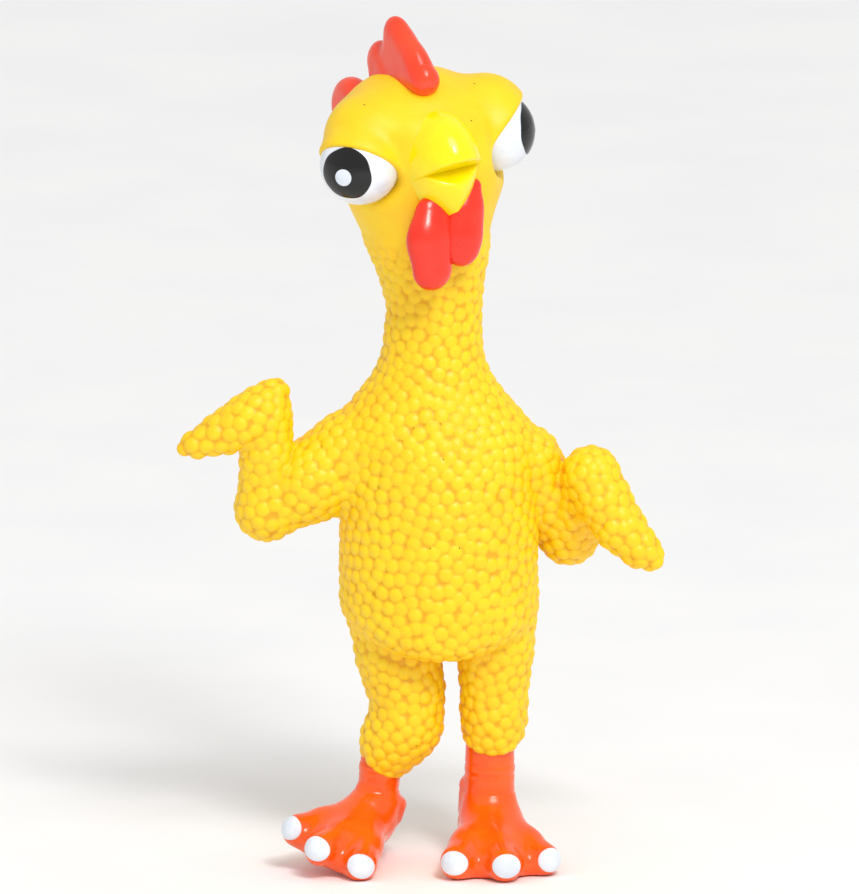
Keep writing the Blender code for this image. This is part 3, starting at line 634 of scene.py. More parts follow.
def grow_pebbles(skin, points, sizes, rise, variation, seed, finish):
    """Run the pebble tree on a skin and keep the result as a plain mesh."""
    cloud = to_mesh("pebble_middles", points, np.zeros((0, 3), dtype=int), {"size": sizes * MM})
    helper = add_piece("pebble_middles", cloud)
    tree = pebble_tree()
    modifier = skin.modifiers.new("Pebbles", "NODES")
    modifier.node_group = tree
    given = {"Pebbles": helper, "Rise": rise, "Variation": variation, "Seed": seed, "Finish": finish}
    for item in tree.interface.items_tree:
        if item.in_out == "INPUT" and item.name in given:
            modifier[item.identifier] = given[item.name]
    skin.update_tag()
    bpy.context.view_layer.update()
    evaluated = skin.evaluated_get(bpy.context.evaluated_depsgraph_get())
    result = bpy.data.meshes.new_from_object(evaluated)
    skin.modifiers.remove(modifier)
    bpy.data.objects.remove(helper)
    bpy.data.meshes.remove(cloud)
    return result


# ---------------------------------------------------------------- finishes

def linear(code):
    """An sRGB hex colour as linear red, green and blue."""
    levels = [int(code[i:i + 2], 16) / 255 for i in (1, 3, 5)]
    return tuple(v / 12.92 if v <= 0.04045 else ((v + 0.055) / 1.055) ** 2.4 for v in levels)


def new_finish(name, roughness, ior=1.5, coat=0.0):
    """A material with a Principled shader, and the tree it lives in."""
    material = bpy.data.materials.new(name)
    material.use_nodes = True
    tree = material.node_tree
    shader = tree.nodes["Principled BSDF"]
    shader.inputs["Roughness"].default_value = roughness
    shader.inputs["IOR"].default_value = ior
    shader.inputs["Coat Weight"].default_value = coat
    shader.inputs["Coat Roughness"].default_value = 0.06
    return material, tree, shader


def mottled(tree, light, dark, size):
    """A colour that drifts between two shades over patches of a size in millimetres."""
    place = add_node(tree, "ShaderNodeTexCoord").outputs["Object"]
    noise = add_node(tree, "ShaderNodeTexNoise", {"Scale": 1.0 / (size * MM), "Detail": 3.0},
                     {"Vector": place})
    share = add_node(tree, "ShaderNodeMapRange", {"From Min": 0.35, "From Max": 0.65},
                     {"Value": noise.outputs["Fac"]})
    return add_node(tree, "ShaderNodeMix", {"data_type": "RGBA", 6: (*dark, 1.0), 7: (*light, 1.0)},
                    {0: share.outputs["Result"]}).outputs[2]


def fine_bump(tree, shader, size, height):
    """The small unevenness of a dipped or brushed surface, with sizes in millimetres."""
    place = add_node(tree, "ShaderNodeTexCoord").outputs["Object"]
    noise = add_node(tree, "ShaderNodeTexNoise", {"Scale": 1.0 / (size * MM), "Detail": 2.0},
                     {"Vector": place})
    bump = add_node(tree, "ShaderNodeBump", {"Distance": height * MM, "Strength": 1.0},
                    {"Height": noise.outputs["Fac"]})
    tree.links.new(bump.outputs["Normal"], shader.inputs["Normal"])


def uneven_gloss(tree, shader, low, high, size):
    """Roughness that wanders, as a hand-dipped or hand-painted film's does."""
    place = add_node(tree, "ShaderNodeTexCoord").outputs["Object"]
    noise = add_node(tree, "ShaderNodeTexNoise", {"Scale": 1.0 / (size * MM), "Detail": 2.0},
                     {"Vector": place})
    level = add_node(tree, "ShaderNodeMapRange",
                     {"From Min": 0.3, "From Max": 0.7, "To Min": low, "To Max": high},
                     {"Value": noise.outputs["Fac"]})
    tree.links.new(level.outputs["Result"], shader.inputs["Roughness"])


def latex_finish(paints):
    """Dipped natural latex, sprayed yellow: satin domes, with painted shade in the grooves between them, a
    deeper yellow that grows with the groove's depth, and a few dark specks of mould dust."""
    material, tree, shader = new_finish("pebbled_latex_yellow", 0.48, 1.52, 0.0)
    shader.inputs["Subsurface Weight"].default_value = 0.10
    shader.inputs["Subsurface Radius"].default_value = (1.0, 0.55, 0.08)
    shader.inputs["Subsurface Scale"].default_value = 2.0 * MM
    top = mottled(tree, tuple(paints.skin), linear("#FFCE00"), 9.0)
    relief = add_node(tree, "ShaderNodeAttribute", {"attribute_name": "relief"}).outputs["Fac"]
    pebble = add_node(tree, "ShaderNodeAttribute", {"attribute_name": "pebble"}).outputs["Fac"]
    # Painted shade: the further a point lies below its pebble's top, the more of the deeper yellow it
    # gets.
    depth = add_node(tree, "ShaderNodeMath", {"operation": "SUBTRACT"}, {0: relief, 1: pebble})
    groove_shade = add_node(tree, "ShaderNodeMapRange", {"From Min": 0.38, "From Max": 0.92},
                      {"Value": depth.outputs[0]})
    body = add_node(tree, "ShaderNodeMix", {"data_type": "RGBA", 7: (*paints.groove_shade, 1.0)},
                    {0: groove_shade.outputs["Result"], 6: top}).outputs[2]
    place = add_node(tree, "ShaderNodeTexCoord").outputs["Object"]
    cells = add_node(tree, "ShaderNodeTexVoronoi", {"Scale": 1.0 / (9.0 * MM)}, {"Vector": place})
    speck = add_node(tree, "ShaderNodeMath", {"operation": "LESS_THAN", 1: 0.028},
                     {0: cells.outputs["Distance"]}).outputs[0]
    coloured = add_node(tree, "ShaderNodeMix", {"data_type": "RGBA", 7: (*linear("#5A4206"), 1.0)},
                        {0: speck, 6: body}).outputs[2]
    tree.links.new(coloured, shader.inputs["Base Color"])
    uneven_gloss(tree, shader, 0.42, 0.56, 6.0)
    fine_bump(tree, shader, 0.7, 0.035)
    return material


# Each enamel: its colour, either a user's paint or fixed, the shade it drifts to, its roughness, the size
# of the drifts in millimetres, its clear coat and how much light passes into it.
ENAMELS = {
    "orange_rubber_enamel": ("feet", "#F85605", 0.20, 9.0, 0.12, 0.04),
    "white_rubber_enamel": ("white", "#DDE5F0", 0.22, 5.0, 0.12, 0.0),
    "lemon_rubber_enamel": ("beak", "#FFE200", 0.22, 6.0, 0.12, 0.04),
    "coral_rubber_enamel": ("comb", "#FA4C28", 0.24, 8.0, 0.12, 0.08),
    "red_rubber_enamel": ("wattle", "#EC2A12", 0.22, 6.0, 0.12, 0.05),
    "black_gloss_enamel": ("#040404", "#080808", 0.12, 5.0, 0.05, 0.0),
}


def enamel_finish(name, paints):
    """Brushed rubber enamel: a thick glossy film that levels out, with faint drifts of shade. The white
    is built once, for both the nails and the eyes."""
    if name in bpy.data.materials:
        return bpy.data.materials[name]
    colour, drift, roughness, patch, coat, soft = ENAMELS[name]
    light = linear(colour) if colour.startswith("#") else tuple(getattr(paints, colour))
    material, tree, shader = new_finish(name, roughness, 1.5, coat)
    shader.inputs["Subsurface Weight"].default_value = soft
    shader.inputs["Subsurface Radius"].default_value = (1.0, 0.35, 0.2)
    shader.inputs["Subsurface Scale"].default_value = 1.5 * MM
    tree.links.new(mottled(tree, light, linear(drift), patch), shader.inputs["Base Color"])
    uneven_gloss(tree, shader, roughness * 0.75, roughness * 1.35, 4.0)
    fine_bump(tree, shader, 2.2, 0.06)
    return material


def plastic_finish():
    """Moulded polythene: waxy and slightly clouded, with soft broad highlights."""
    material, tree, shader = new_finish("squeaker_polythene", 0.38, 1.51)
    shader.inputs["Subsurface Weight"].default_value = 0.15
    shader.inputs["Subsurface Scale"].default_value = 2.0 * MM
    clouded = mottled(tree, linear("#F1ECDD"), linear("#E4DCC6"), 5.0)
    tree.links.new(clouded, shader.inputs["Base Color"])
    uneven_gloss(tree, shader, 0.32, 0.48, 3.0)
    fine_bump(tree, shader, 0.8, 0.02)
    return material


def brass_finish():
    """Rolled brass shim: a fine grain along its length that stretches the highlights."""
    material, tree, shader = new_finish("rolled_brass", 0.28)
    shader.inputs["Metallic"].default_value = 1.0
    place = add_node(tree, "ShaderNodeTexCoord").outputs["Object"]
    turn = add_node(tree, "ShaderNodeMapping", {"Scale": (12.0, 12.0, 1.0)}, {"Vector": place})
    noise = add_node(tree, "ShaderNodeTexNoise", {"Scale": 1.0 / (2.5 * MM), "Detail": 3.0},
                     {"Vector": turn.outputs["Vector"]})
    colour = add_node(tree, "ShaderNodeMix", {"data_type": "RGBA", 6: (*linear("#C79A3E"), 1.0),
                                              7: (*linear("#E2BC63"), 1.0)}, {0: noise.outputs["Fac"]})
    tree.links.new(colour.outputs[2], shader.inputs["Base Color"])
    return material


# ---------------------------------------------------------------- the add-on

def paint(name, description, code):
    """A colour that a user may change."""
    return bpy.props.FloatVectorProperty(name=name, description=description, subtype="COLOR", size=3,
                                         min=0.0, max=1.0, default=linear(code))


class ChickenPaints(bpy.types.PropertyGroup):
    """Colours of the latex, of the shade painted into its grooves, and of the paints on it."""

    skin: paint("Skin", "Yellow of the pebbles' tops", "#FFD600")
    # Painted shade, laid into the grooves between the pebbles as a deeper yellow.
    groove_shade: paint("Grooves", "Deeper yellow between the pebbles", "#EFB000")
    beak: paint("Beak", "Lemon enamel of the beak", "#FCEC00")
    comb: paint("Comb", "Coral enamel of the comb", "#F8401E")
    wattle: paint("Wattles", "Red enamel of the wattles", "#F4321A")
    feet: paint("Feet", "Orange enamel of the shanks and feet", "#FF6208")
    white: paint("Eyes and nails", "White enamel of the eyes and nails", "#EEF3FA")


class ChickenSizes(bpy.types.PropertyGroup):
    """Sizes of the skin's relief."""

    step: bpy.props.FloatProperty(
        name="Sculpting step", description="Spacing of the sculpted points before they are split",
        subtype="DISTANCE", unit="LENGTH", min=0.0005, default=0.8 * MM)
    rise: bpy.props.FloatProperty(
        name="Pebble rise", description="Height of a pebble as a share of its half width",
        min=0.0, max=1.0, default=0.35)
    variation: bpy.props.FloatProperty(
        name="Pebble variation", description="How much the pebbles differ in height",
        min=0.0, max=0.5, default=0.16)
    seed: bpy.props.IntProperty(
        name="Pebble seed", description="Starts the scatter of the pebbles", default=7)
    nail: bpy.props.FloatProperty(
        name="Nail thickness", description="Height of a painted nail over the toe",
        subtype="DISTANCE", unit="LENGTH", min=0.0001, default=0.3 * MM)


BELLY_EDGE = -15.5      # the belly in front of this depth is what a hand squeezes
BELLY_TOP, NECK_LOW, NECK_HIGH, HEAD_LOW = 122.0, 133.5, 146.5, 159.5     # heights of the divisions
FOLD_LEAD = 2.0         # a wing is divided this far before each fold
SQUEAKER = ((0.0, 84.0), 8.5, 11.3, 22.4)       # its middle, bore, rim radius and back


def skin_with_seat(points):
    """The skin with the moulded ring in its back that holds the squeaker."""
    form = skin_field(points)
    (x, z), bore, rim, back = SQUEAKER
    reach = np.sqrt((points[:, 0] - x) ** 2 + (points[:, 2] - z) ** 2)
    ring = shared(shared(reach - rim, points[:, 1] - back, 1.0), 10.0 - points[:, 1], 1.0)
    form = merge(form, ring, 1.6)
    hole = np.maximum(reach - bore, 7.4 - points[:, 1])
    return shared(form, -hole, 0.5)


def plane_between(corner, one, other):
    """A normal from one limb towards the other at a folded joint."""
    return unit(unit(other - corner) - unit(one - corner))


def wing_planes():
    """For each wing, its elbow and wrist with the direction across each fold."""
    planes = {}
    tips = {"right": np.array((-69.6, -6.0, 113.8)), "left": np.array((57.6, -8.0, 82.5))}
    for side, tip in tips.items():
        shoulder = joint_place(side + "_shoulder_flap")
        elbow = joint_place(side + "_elbow_bend")
        wrist = joint_place(side + "_wrist_bend")
        planes[side] = (elbow, plane_between(elbow, shoulder, wrist),
                        wrist, plane_between(wrist, elbow, tip))
    return planes


def sections(places):
    """Which section of the skin each place belongs to."""
    limbs = limb_fields(places)
    names = ["trunk"] + list(limbs)
    stack = np.stack([trunk_field(places)] + [limbs[name] for name in limbs])
    nearest = np.array(names)[np.argmin(stack, axis=0)]
    height = places[:, 2]
    nearest[height > HEAD_LOW] = "trunk"
    section = np.full(len(places), "torso", dtype="<U24")
    trunk = nearest == "trunk"
    section[trunk & (places[:, 1] < BELLY_EDGE) & (height < BELLY_TOP)] = "belly"
    for name, level in (("neck_low", NECK_LOW), ("neck_high", NECK_HIGH), ("head", HEAD_LOW)):
        section[trunk & (height > level)] = name
    for side, (elbow, across_elbow, wrist, across_wrist) in wing_planes().items():
        wing = nearest == side + "_wing"
        section[wing] = side + "_upper_arm"
        fore = wing & (beyond(places, elbow, across_elbow) > -FOLD_LEAD)
        section[fore] = side + "_forearm"
        section[fore & (beyond(places, wrist, across_wrist) > -FOLD_LEAD)] = side + "_hand"
        section[nearest == side + "_leg"] = side + "_thigh"
    return section


def skin_relief(points):
    """How high the pebbles stand: full on the body, lower at the cuffs, and fading out under the face
    and at the squeaker."""
    relief = ramp(-points[:, 2], -171.0, 7.0) ** 0.6
    (x, z), _, rim, _ = SQUEAKER
    reach = np.sqrt((points[:, 0] - x) ** 2 + (points[:, 2] - z) ** 2)
    seat = (points[:, 1] > 5.0) & (reach < rim + 3.0)
    relief[seat] *= ramp(reach[seat] - rim, 0.6, 1.6)
    low = points[:, 2] < 40.0
    relief[low] *= 0.72 + 0.28 * ramp(points[low, 2], 22.0, 14.0)
    return relief


def skin_bends():
    """How each section of the skin follows the frame: the two bodies it bends between, where the bend
    starts and ends, and the nodes it stands for."""
    planes = wing_planes()
    bends = {
        "neck_low": ("torso", "neck_low", (0, 0, 133.7), (0, 0, 143.7), ("neck_nod_band", "neck_ring")),
        "neck_high": ("neck_low", "neck_high", (0, 0, 149.3), (0, 0, 158.7),
                      ("neck_tilt_band", "neck_collar")),
        "head": ("neck_high", "head", (0, 0, 160.0), (0, 0, 177.0), ("head_skin",)),
    }
    for side, start, end in (("right", -28.5, -34.5), ("left", 28.0, 33.0)):
        elbow, across_elbow, wrist, across_wrist = planes[side]
        upper, fore, hand = side + "_upper_arm", side + "_forearm", side + "_hand"
        bends[upper] = ("torso", upper, (start, 0, 105), (end, 0, 105),
                        (side + "_shoulder_band", upper))
        bends[fore] = (upper, fore, elbow - across_elbow * 1.5, elbow + across_elbow * 4.0,
                       (side + "_elbow_band", fore))
        bends[hand] = (fore, hand, wrist - across_wrist * 1.5, wrist + across_wrist * 4.0,
                       (side + "_wrist_band", hand))
        bends[side + "_thigh"] = ("torso", side + "_leg", (0, 0, 58.0), (0, 0, 51.0),
                                  (side + "_hip_band", side + "_thigh"))
    return bends


class CHICKEN_OT_skin(bpy.types.Operator):
    """Sculpt the yellow skin, raise its pebbles, and divide it where the toy bends"""

    bl_idname = "chicken.skin"
    bl_label = "Pebbled Skin"

    def execute(self, context):
        sizes, paints = context.scene.chicken_sizes, context.scene.chicken_paints
        low = (CAD_BOX[0][0] / MM - SHIFT[0] - 8.0, -32.0, 18.0)
        high = (CAD_BOX[1][0] / MM - SHIFT[0] + 8.0, 33.0, 221.0)
        coarse, quads = surface_net(skin_with_seat, low, high, sizes.step / MM)
        coarse = settle(skin_with_seat, coarse)
        covered = skin_relief(coarse) > 0.0
        middles = scatter(coarse[covered], sizes.seed)
        vertices, quads = split_faces(coarse, quads)
        vertices = settle(skin_with_seat, vertices, 2)
        finish = latex_finish(paints)
        smooth = to_mesh("skin", vertices, quads, {"relief": skin_relief(vertices)})
        whole = add_piece("skin", smooth)
        mesh = grow_pebbles(whole, middles, pebble_size(middles) * DOME_WIDTH, sizes.rise, sizes.variation,
                            sizes.seed, finish)
        bpy.data.objects.remove(whole)
        bpy.data.meshes.remove(smooth)
        places = read(mesh.vertices, "co", 3)
        normals = read(mesh.vertex_normals, "vector", 3)
        values = {key: read(mesh.attributes[key].data, "value", 1).ravel()
                  for key in ("relief", "pebble")}
        belongs = sections(vertices[quads].mean(axis=1))
        pieces = {}
        for name in np.unique(belongs):
            pieces[name] = carve("skin_" + name, places, normals, quads, belongs == name, finish, values)
        bpy.data.meshes.remove(mesh)
        for name, (first, second, start, end, nodes) in skin_bends().items():
            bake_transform(pieces[name])
            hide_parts(*nodes)
        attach(pieces["torso"], "torso")
        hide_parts("torso_skin")
        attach(pieces["belly"], "torso")
        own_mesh(pieces["belly"])
        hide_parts("belly_panel")
        return {"FINISHED"}


def read(items, key, width):
    """Values of many mesh elements as one array."""
    flat = np.empty(len(items) * width, dtype=np.float32)
    items.foreach_get(key, flat)
    return flat.reshape(-1, width).astype(float)


# ---------------------------------------------------------------- feet

# How the right foot is turned and rolled, in degrees, and the height over the ground, straight below
# its ankle, of the point that it rolls about.
FOOT_TURN, FOOT_ROLL, FOOT_LEVER = -17.0, -22.0, 16.4
# Each toe's tip across and behind the ankle, and its radius.
TOES = ((-8.2, -24.4, 4.8), (4.2, -27.0, 4.6), (14.6, -19.6, 4.4))


def turn_about(axis, degrees):
    """A rotation matrix."""
    x, y, z = unit(axis)
    c, s = math.cos(math.radians(degrees)), math.sin(math.radians(degrees))
    return np.array((
        (c + x * x * (1 - c), x * y * (1 - c) - z * s, x * z * (1 - c) + y * s),
        (y * x * (1 - c) + z * s, c + y * y * (1 - c), y * z * (1 - c) - x * s),
        (z * x * (1 - c) - y * s, z * y * (1 - c) + x * s, c + z * z * (1 - c)),
    ))


def foot_frames():
    """For each foot, the matrix and the place that carry it from its own drawing."""
    mirror = np.diag((-0.9, 1.0, 1.0))
    lean = math.radians(8.6)
    roll = turn_about((-math.sin(lean), -math.cos(lean), 0.0), FOOT_ROLL)
    turn = turn_about((0, 0, 1), FOOT_TURN)
    right, left = joint_place("right_ankle_flex"), joint_place("left_ankle_flex")
    lever = np.array((0.0, 0.0, FOOT_LEVER))
    ground = np.array((right[0], right[1], 0.0))
    return {
        "right": (roll @ turn @ mirror, ground + lever - roll @ lever),
        "left": (np.eye(3), np.array((left[0], left[1], 0.0))),
    }


def foot_drawing(points):
    """A left foot about its own ankle: three knuckled toes with webs between them, and a heel."""
    form = chain(points, (((0, 0, 30), 5.9), ((0, 0.2, 17), 5.9), ((0, 0.6, 11.5), 6.2)), 2.0)
    heel = capsule(points, (0, 0.6, 10), (0, 3.6, 4.6), 6.0, 4.8)
    form = merge(form, heel, 3.0)
    toes = None
    for x, y, radius in TOES:
        root = np.array((x * 0.15, y * 0.08 - 1.0, 10.6))
        tip = np.array((x, y, radius * 0.94))
        knuckle = root + (tip - root) * 0.6
        ray = chain(points, ((root, 5.6), (knuckle, radius * 0.96), (tip, radius)), 3.0)
        toes = ray if toes is None else merge(toes, ray, 4.0)
    webs = None
    for (ax, ay, _), (bx, by, _) in zip(TOES, TOES[1:]):
        for share, reach in ((0.25, 0.88), (0.5, 0.86), (0.75, 0.88)):
            far = np.array(((ax + (bx - ax) * share) * reach, (ay + (by - ay) * share) * reach, 3.0))
            web = capsule(points, (far[0] * 0.2, far[1] * 0.2, 9.0), far, 5.4, 3.0)
            webs = web if webs is None else merge(webs, web, 3.0)
    form = merge(form, merge(toes, webs, 3.0), 5.0)
    spur = capsule(points, (-5.2, 2.0, 19.6), (-4.6, 2.8, 13.0), 2.7, 3.6)
    return merge(form, spur, 1.4)


def foot_field(side, points):
    """A foot with its shank, in the figure, cut level where it meets the ground."""
    matrix, place = foot_frames()[side]
    form = foot_drawing((points - place) @ np.linalg.inv(matrix).T)
    ankle = joint_place(side + "_ankle_flex")
    if side == "right":
        form = shared(form, (points - place) @ matrix[:, 2] - 18.5, 2.0)
        shank = chain(points, ((ankle + (0, 0, -3.0), 5.4), (ankle + (0.3, 0, 4.0), 5.2),
                               (ankle + (1.6, 0, 12.5), 5.5)), 2.0)
    else:
        shank = chain(points, ((ankle + (0.2, 0, -4.0), 5.9), (ankle + (0.5, 0, 4.0), 5.8),
                               (ankle + (0.9, 0, 18.0), 5.8)), 2.0)
    form = merge(form, shank, 2.5)
    # Faint creases ring the shank where it has been bent.
    height = points[:, 2] - ankle[2]
    for level, depth in ((3.4, 0.22), (6.2, 0.16), (-1.5, 0.14)):
        form = form + depth * np.exp(-((height - level) / 0.45) ** 2)
    return shared(form, -points[:, 2], 0.8)


def nail_field(side, centre, axes, thick, points):
    """A painted nail: the toe's surface within an oval, raised by the paint's thickness."""
    patch = egg(points, centre, np.array((4.0, 3.4, 3.3)), axes)
    return shared(foot_field(side, points) - thick, patch, 0.35)


class CHICKEN_OT_feet(bpy.types.Operator):
    """Sculpt the orange feet with their shanks, and the white nails on their toes"""

    bl_idname = "chicken.feet"
    bl_label = "Feet and Nails"

    def execute(self, context):
        paints = context.scene.chicken_paints
        orange = enamel_finish("orange_rubber_enamel", paints)
        white = enamel_finish("white_rubber_enamel", paints)
        thick = context.scene.chicken_sizes.nail / MM
        for side, (matrix, place) in foot_frames().items():
            ankle = joint_place(side + "_ankle_flex")
            low = (ankle[0] - 32.0, ankle[1] - 36.0, -1.5)
            high = (ankle[0] + 32.0, ankle[1] + 14.0, ankle[2] + 26.0)
            piece = sculpted_piece(side + "_painted_foot", partial(foot_field, side), low, high, 0.9,
                                   orange)
            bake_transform(piece)
            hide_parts(side + "_shank", side + "_ankle_band", side + "_foot",
                        side + "_hind_toe")
            for toe, (x, y, radius) in zip(("inner", "middle", "outer"), TOES):
                reach = math.hypot(x, y)
                across = np.array((-y / reach, x / reach, 0.0))
                along = np.array((x / reach, y / reach, 0.0))
                spot = np.array((x, y, 0.0)) + along * radius * 0.8 + (0.0, 0.0, radius * 1.05)
                axes = np.stack([unit(matrix @ way) for way in (across, along, (0.0, 0.0, 1.0))])
                centre = matrix @ spot + place
                form = partial(nail_field, side, centre, axes, thick)
                name = f"{side}_{toe}_nail"
                oval = sculpted_piece("painted_" + name, form, centre - 6.0, centre + 6.0, 0.45, white)
                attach(oval, side + "_foot")
                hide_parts(name)
        return {"FINISHED"}


# ---------------------------------------------------------------- face

def half_beak(points, centre, radii, power, cut):
    """A ridged, keeled shell like one half of a beak, cut off along the mouth."""
    moved = in_head(points) - np.asarray(centre)
    ahead, left, up = np.abs(moved / np.asarray(radii)).T
    section = (left ** power + up ** power + 1e-9) ** (1.0 / power)
    form = (np.sqrt(ahead * ahead + section * section) - 1.0) * min(radii)
    return shared(form, cut(in_head(points)), 0.7)


def upper_beak(points):
    """The beak above the mouth."""
    return half_beak(points, (8.0, -2.1, 0.0), (18.0, 10.8, 14.3), 1.95,
                     lambda p: -1.4 + 0.50 * (p[:, 0] - 18.4) - p[:, 2])


def lower_beak(points):
    """The beak below the mouth."""
    return half_beak(points, (9.0, -2.2, -1.0), (13.6, 10.8, 18.0), 1.4,
                     lambda p: p[:, 2] + 1.7 + 0.75 * (p[:, 0] - 18.4))


# The circles that outline each lobe: how far ahead and up they are, and their radius.
COMB_LOBES = (
    ((7.0, 21.4, 4.5), (0.6, 23.8, 7.2), (-5.6, 22.0, 8.2), (-4.2, 28.8, 6.2), (-5.6, 32.2, 4.2)),
    ((-11.0, 17.5, 8.0), (-13.6, 22.8, 5.8)),
    ((-22.0, 5.5, 9.0), (-28.0, 7.0, 9.6)),
)


def comb_field(points):
    """Three lobes along the crown that lean apart a little towards the back."""
    ahead, left, up = in_head(points).T
    form = None
    for lobe, lean, half in zip(COMB_LOBES, (-1.8, -2.6, -5.4), (4.2, 3.8, 3.8)):
        thick = half - 0.085 * np.clip(up - 20.0, 0.0, 16.0)
        part = blade(ahead, up, left - lean, lobe, thick, 4.2, 2.5)
        form = part if form is None else merge(form, part, 0.9)
    return form


# Places down each wattle with the radius there.
WATTLES = {
    "right": ((-2.6, -20.6, 179.6, 5.0), (-3.0, -22.2, 173.0, 6.0), (-2.6, -22.4, 164.9, 5.6)),
    "left": ((8.2, -16.8, 186.0, 2.4), (6.6, -18.2, 180.0, 4.0), (5.5, -19.2, 173.4, 4.8),
             (5.3, -19.4, 169.8, 4.6)),
}


def wattle_field(side, points):
    """A hanging lobe, flattened from front to back."""
    squeeze = np.stack((unit((0.8829, 0.4695, 0.0)), HEAD_AHEAD * 1.6, (0.0, 0.0, 1.0)), axis=0)
    centre = np.array(WATTLES[side][1][:3])
    flat = (points - centre) @ squeeze.T
    stations = [((np.array(place[:3]) - centre) @ squeeze.T, place[3]) for place in WATTLES[side]]
    return chain(flat, stations, 4.0) * 0.7


class CHICKEN_OT_face(bpy.types.Operator):
    """Sculpt the beak, the comb and the wattles"""

    bl_idname = "chicken.face"
    bl_label = "Beak, Comb and Wattles"

    def execute(self, context):
        paints = context.scene.chicken_paints
        lemon = enamel_finish("lemon_rubber_enamel", paints)
        coral = enamel_finish("coral_rubber_enamel", paints)
        red = enamel_finish("red_rubber_enamel", paints)
        centre = from_head(14.0, -2.9, 0.0)
        for name, form in (("upper_beak", upper_beak), ("lower_beak", lower_beak)):
            piece = sculpted_piece("painted_" + name, form, centre - 24.0, centre + 24.0, 0.9, lemon)
            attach(piece, "head")
            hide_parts(name)
        centre = from_head(-8.0, -2.0, 22.0)
        comb = sculpted_piece("painted_comb", comb_field, centre - 32.0, centre + 32.0, 0.9, coral)
        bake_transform(comb)
        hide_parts("comb")
        for side in WATTLES:
            centre = np.array(WATTLES[side][1][:3])
            piece = sculpted_piece(side + "_painted_wattle", partial(wattle_field, side),
                                   centre - 20.0, centre + 20.0, 0.8, red)
            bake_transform(piece)
            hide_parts(side + "_wattle")
        return {"FINISHED"}


# ---------------------------------------------------------------- eyes

# The way each painted pupil faces, and then each painted glint, in the head's own directions.
GAZES = {"right": (0.623, -0.783, 0.003), "left": (0.580, 0.815, 0.011)}
GLINTS = {"right": (0.601, -0.796, -0.053), "left": (0.30, 0.95, 0.05)}


def ball_patch(centre, axis, outer, depth, edge, count=96, rings=28):
    """A round or ragged-edged patch of a ball's wall, closed all over. edge gives its angle by turn."""
    axis = unit(axis)
    side = unit(np.cross(axis, (0.0, 0.0, 1.0)))
    other = np.cross(axis, side)
    turns = np.arange(count) * 2 * math.pi / count
    limits = np.array([edge(turn) for turn in turns])
    levels = []
    shares = np.linspace(1.0 / rings, 1.0, rings)
    walls = [(outer, share) for share in shares] + [(outer - depth, share) for share in shares[::-1]]
    for radius, share in walls:
        angles = np.radians(limits * share)
        ring = (np.cos(angles)[:, None] * axis + np.sin(angles)[:, None]
                * (np.cos(turns)[:, None] * side + np.sin(turns)[:, None] * other)) * radius
        levels.append(ring + centre)
    points = np.concatenate(levels)
    faces = []
    for row in range(len(levels) - 1):
        for i in range(count):
            j = (i + 1) % count
            low, high = row * count, (row + 1) * count
            faces.append((low + i, low + j, high + j, high + i))
    front, back = len(points), len(points) + 1
    points = np.concatenate((points, [np.asarray(centre) + axis * outer,
                                      np.asarray(centre) + axis * (outer - depth)]))
    last = (len(levels) - 1) * count
    fans = [((i + 1) % count, i, front) for i in range(count)]
    fans += [(last + i, last + (i + 1) % count, back) for i in range(count)]
    return points, faces, fans


def pupil_edge(turn):
    """How many degrees a pupil reaches from its middle, wandering as a brush does."""
    return 40.5 + 0.9 * math.sin(3 * turn + 1.0) + 0.5 * math.sin(7 * turn)


def glint_edge(turn):
    """How many degrees a glint reaches from its middle."""
    return 12.4 + 0.4 * math.sin(2 * turn)


def patch_mesh(name, patch, material):
    """A ball patch as a piece, with its faces turned outwards."""
    points, faces, fans = patch
    mesh = bpy.data.meshes.new(name)
    mesh.from_pydata(to_world(points).tolist(), [], faces + fans)
    mesh.shade_smooth()
    mesh.flip_normals()
    mesh.set_sharp_from_angle(angle=math.radians(60))
    return add_piece(name, mesh, material)


class CHICKEN_OT_eyes(bpy.types.Operator):
    """Make the bulging white eyes with their painted pupils and glints"""

    bl_idname = "chicken.eyes"
    bl_label = "Eyes"

    def execute(self, context):
        paints = context.scene.chicken_paints
        white = enamel_finish("white_rubber_enamel", paints)
        black = enamel_finish("black_gloss_enamel", paints)
        for side, (centre, _) in EYES.items():
            centre = np.array(centre)
            gaze = from_head(*GAZES[side]) - BETWEEN_EYES
            glint = from_head(*GLINTS[side]) - BETWEEN_EYES
            ball = patch_mesh(side + "_painted_eye",
                              ball_patch(centre, gaze, EYE_RADIUS, 2.4, lambda turn: 128.0), white)
            pupil = patch_mesh(side + "_painted_iris",
                               ball_patch(centre, gaze, EYE_RADIUS + 0.14, 0.5, pupil_edge), black)
            dot = patch_mesh(side + "_glint",
                             ball_patch(centre, glint, EYE_RADIUS + 0.26, 0.5, glint_edge, 48, 8), white)
            for piece, node, slot in ((ball, side + "_eye", "white_paint"),
                                      (pupil, side + "_iris", "black_paint"),
                                      (dot, None, "white_paint")):
                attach(piece, "head")
                if node:
                    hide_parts(node)
        return {"FINISHED"}


# ---------------------------------------------------------------- squeaker

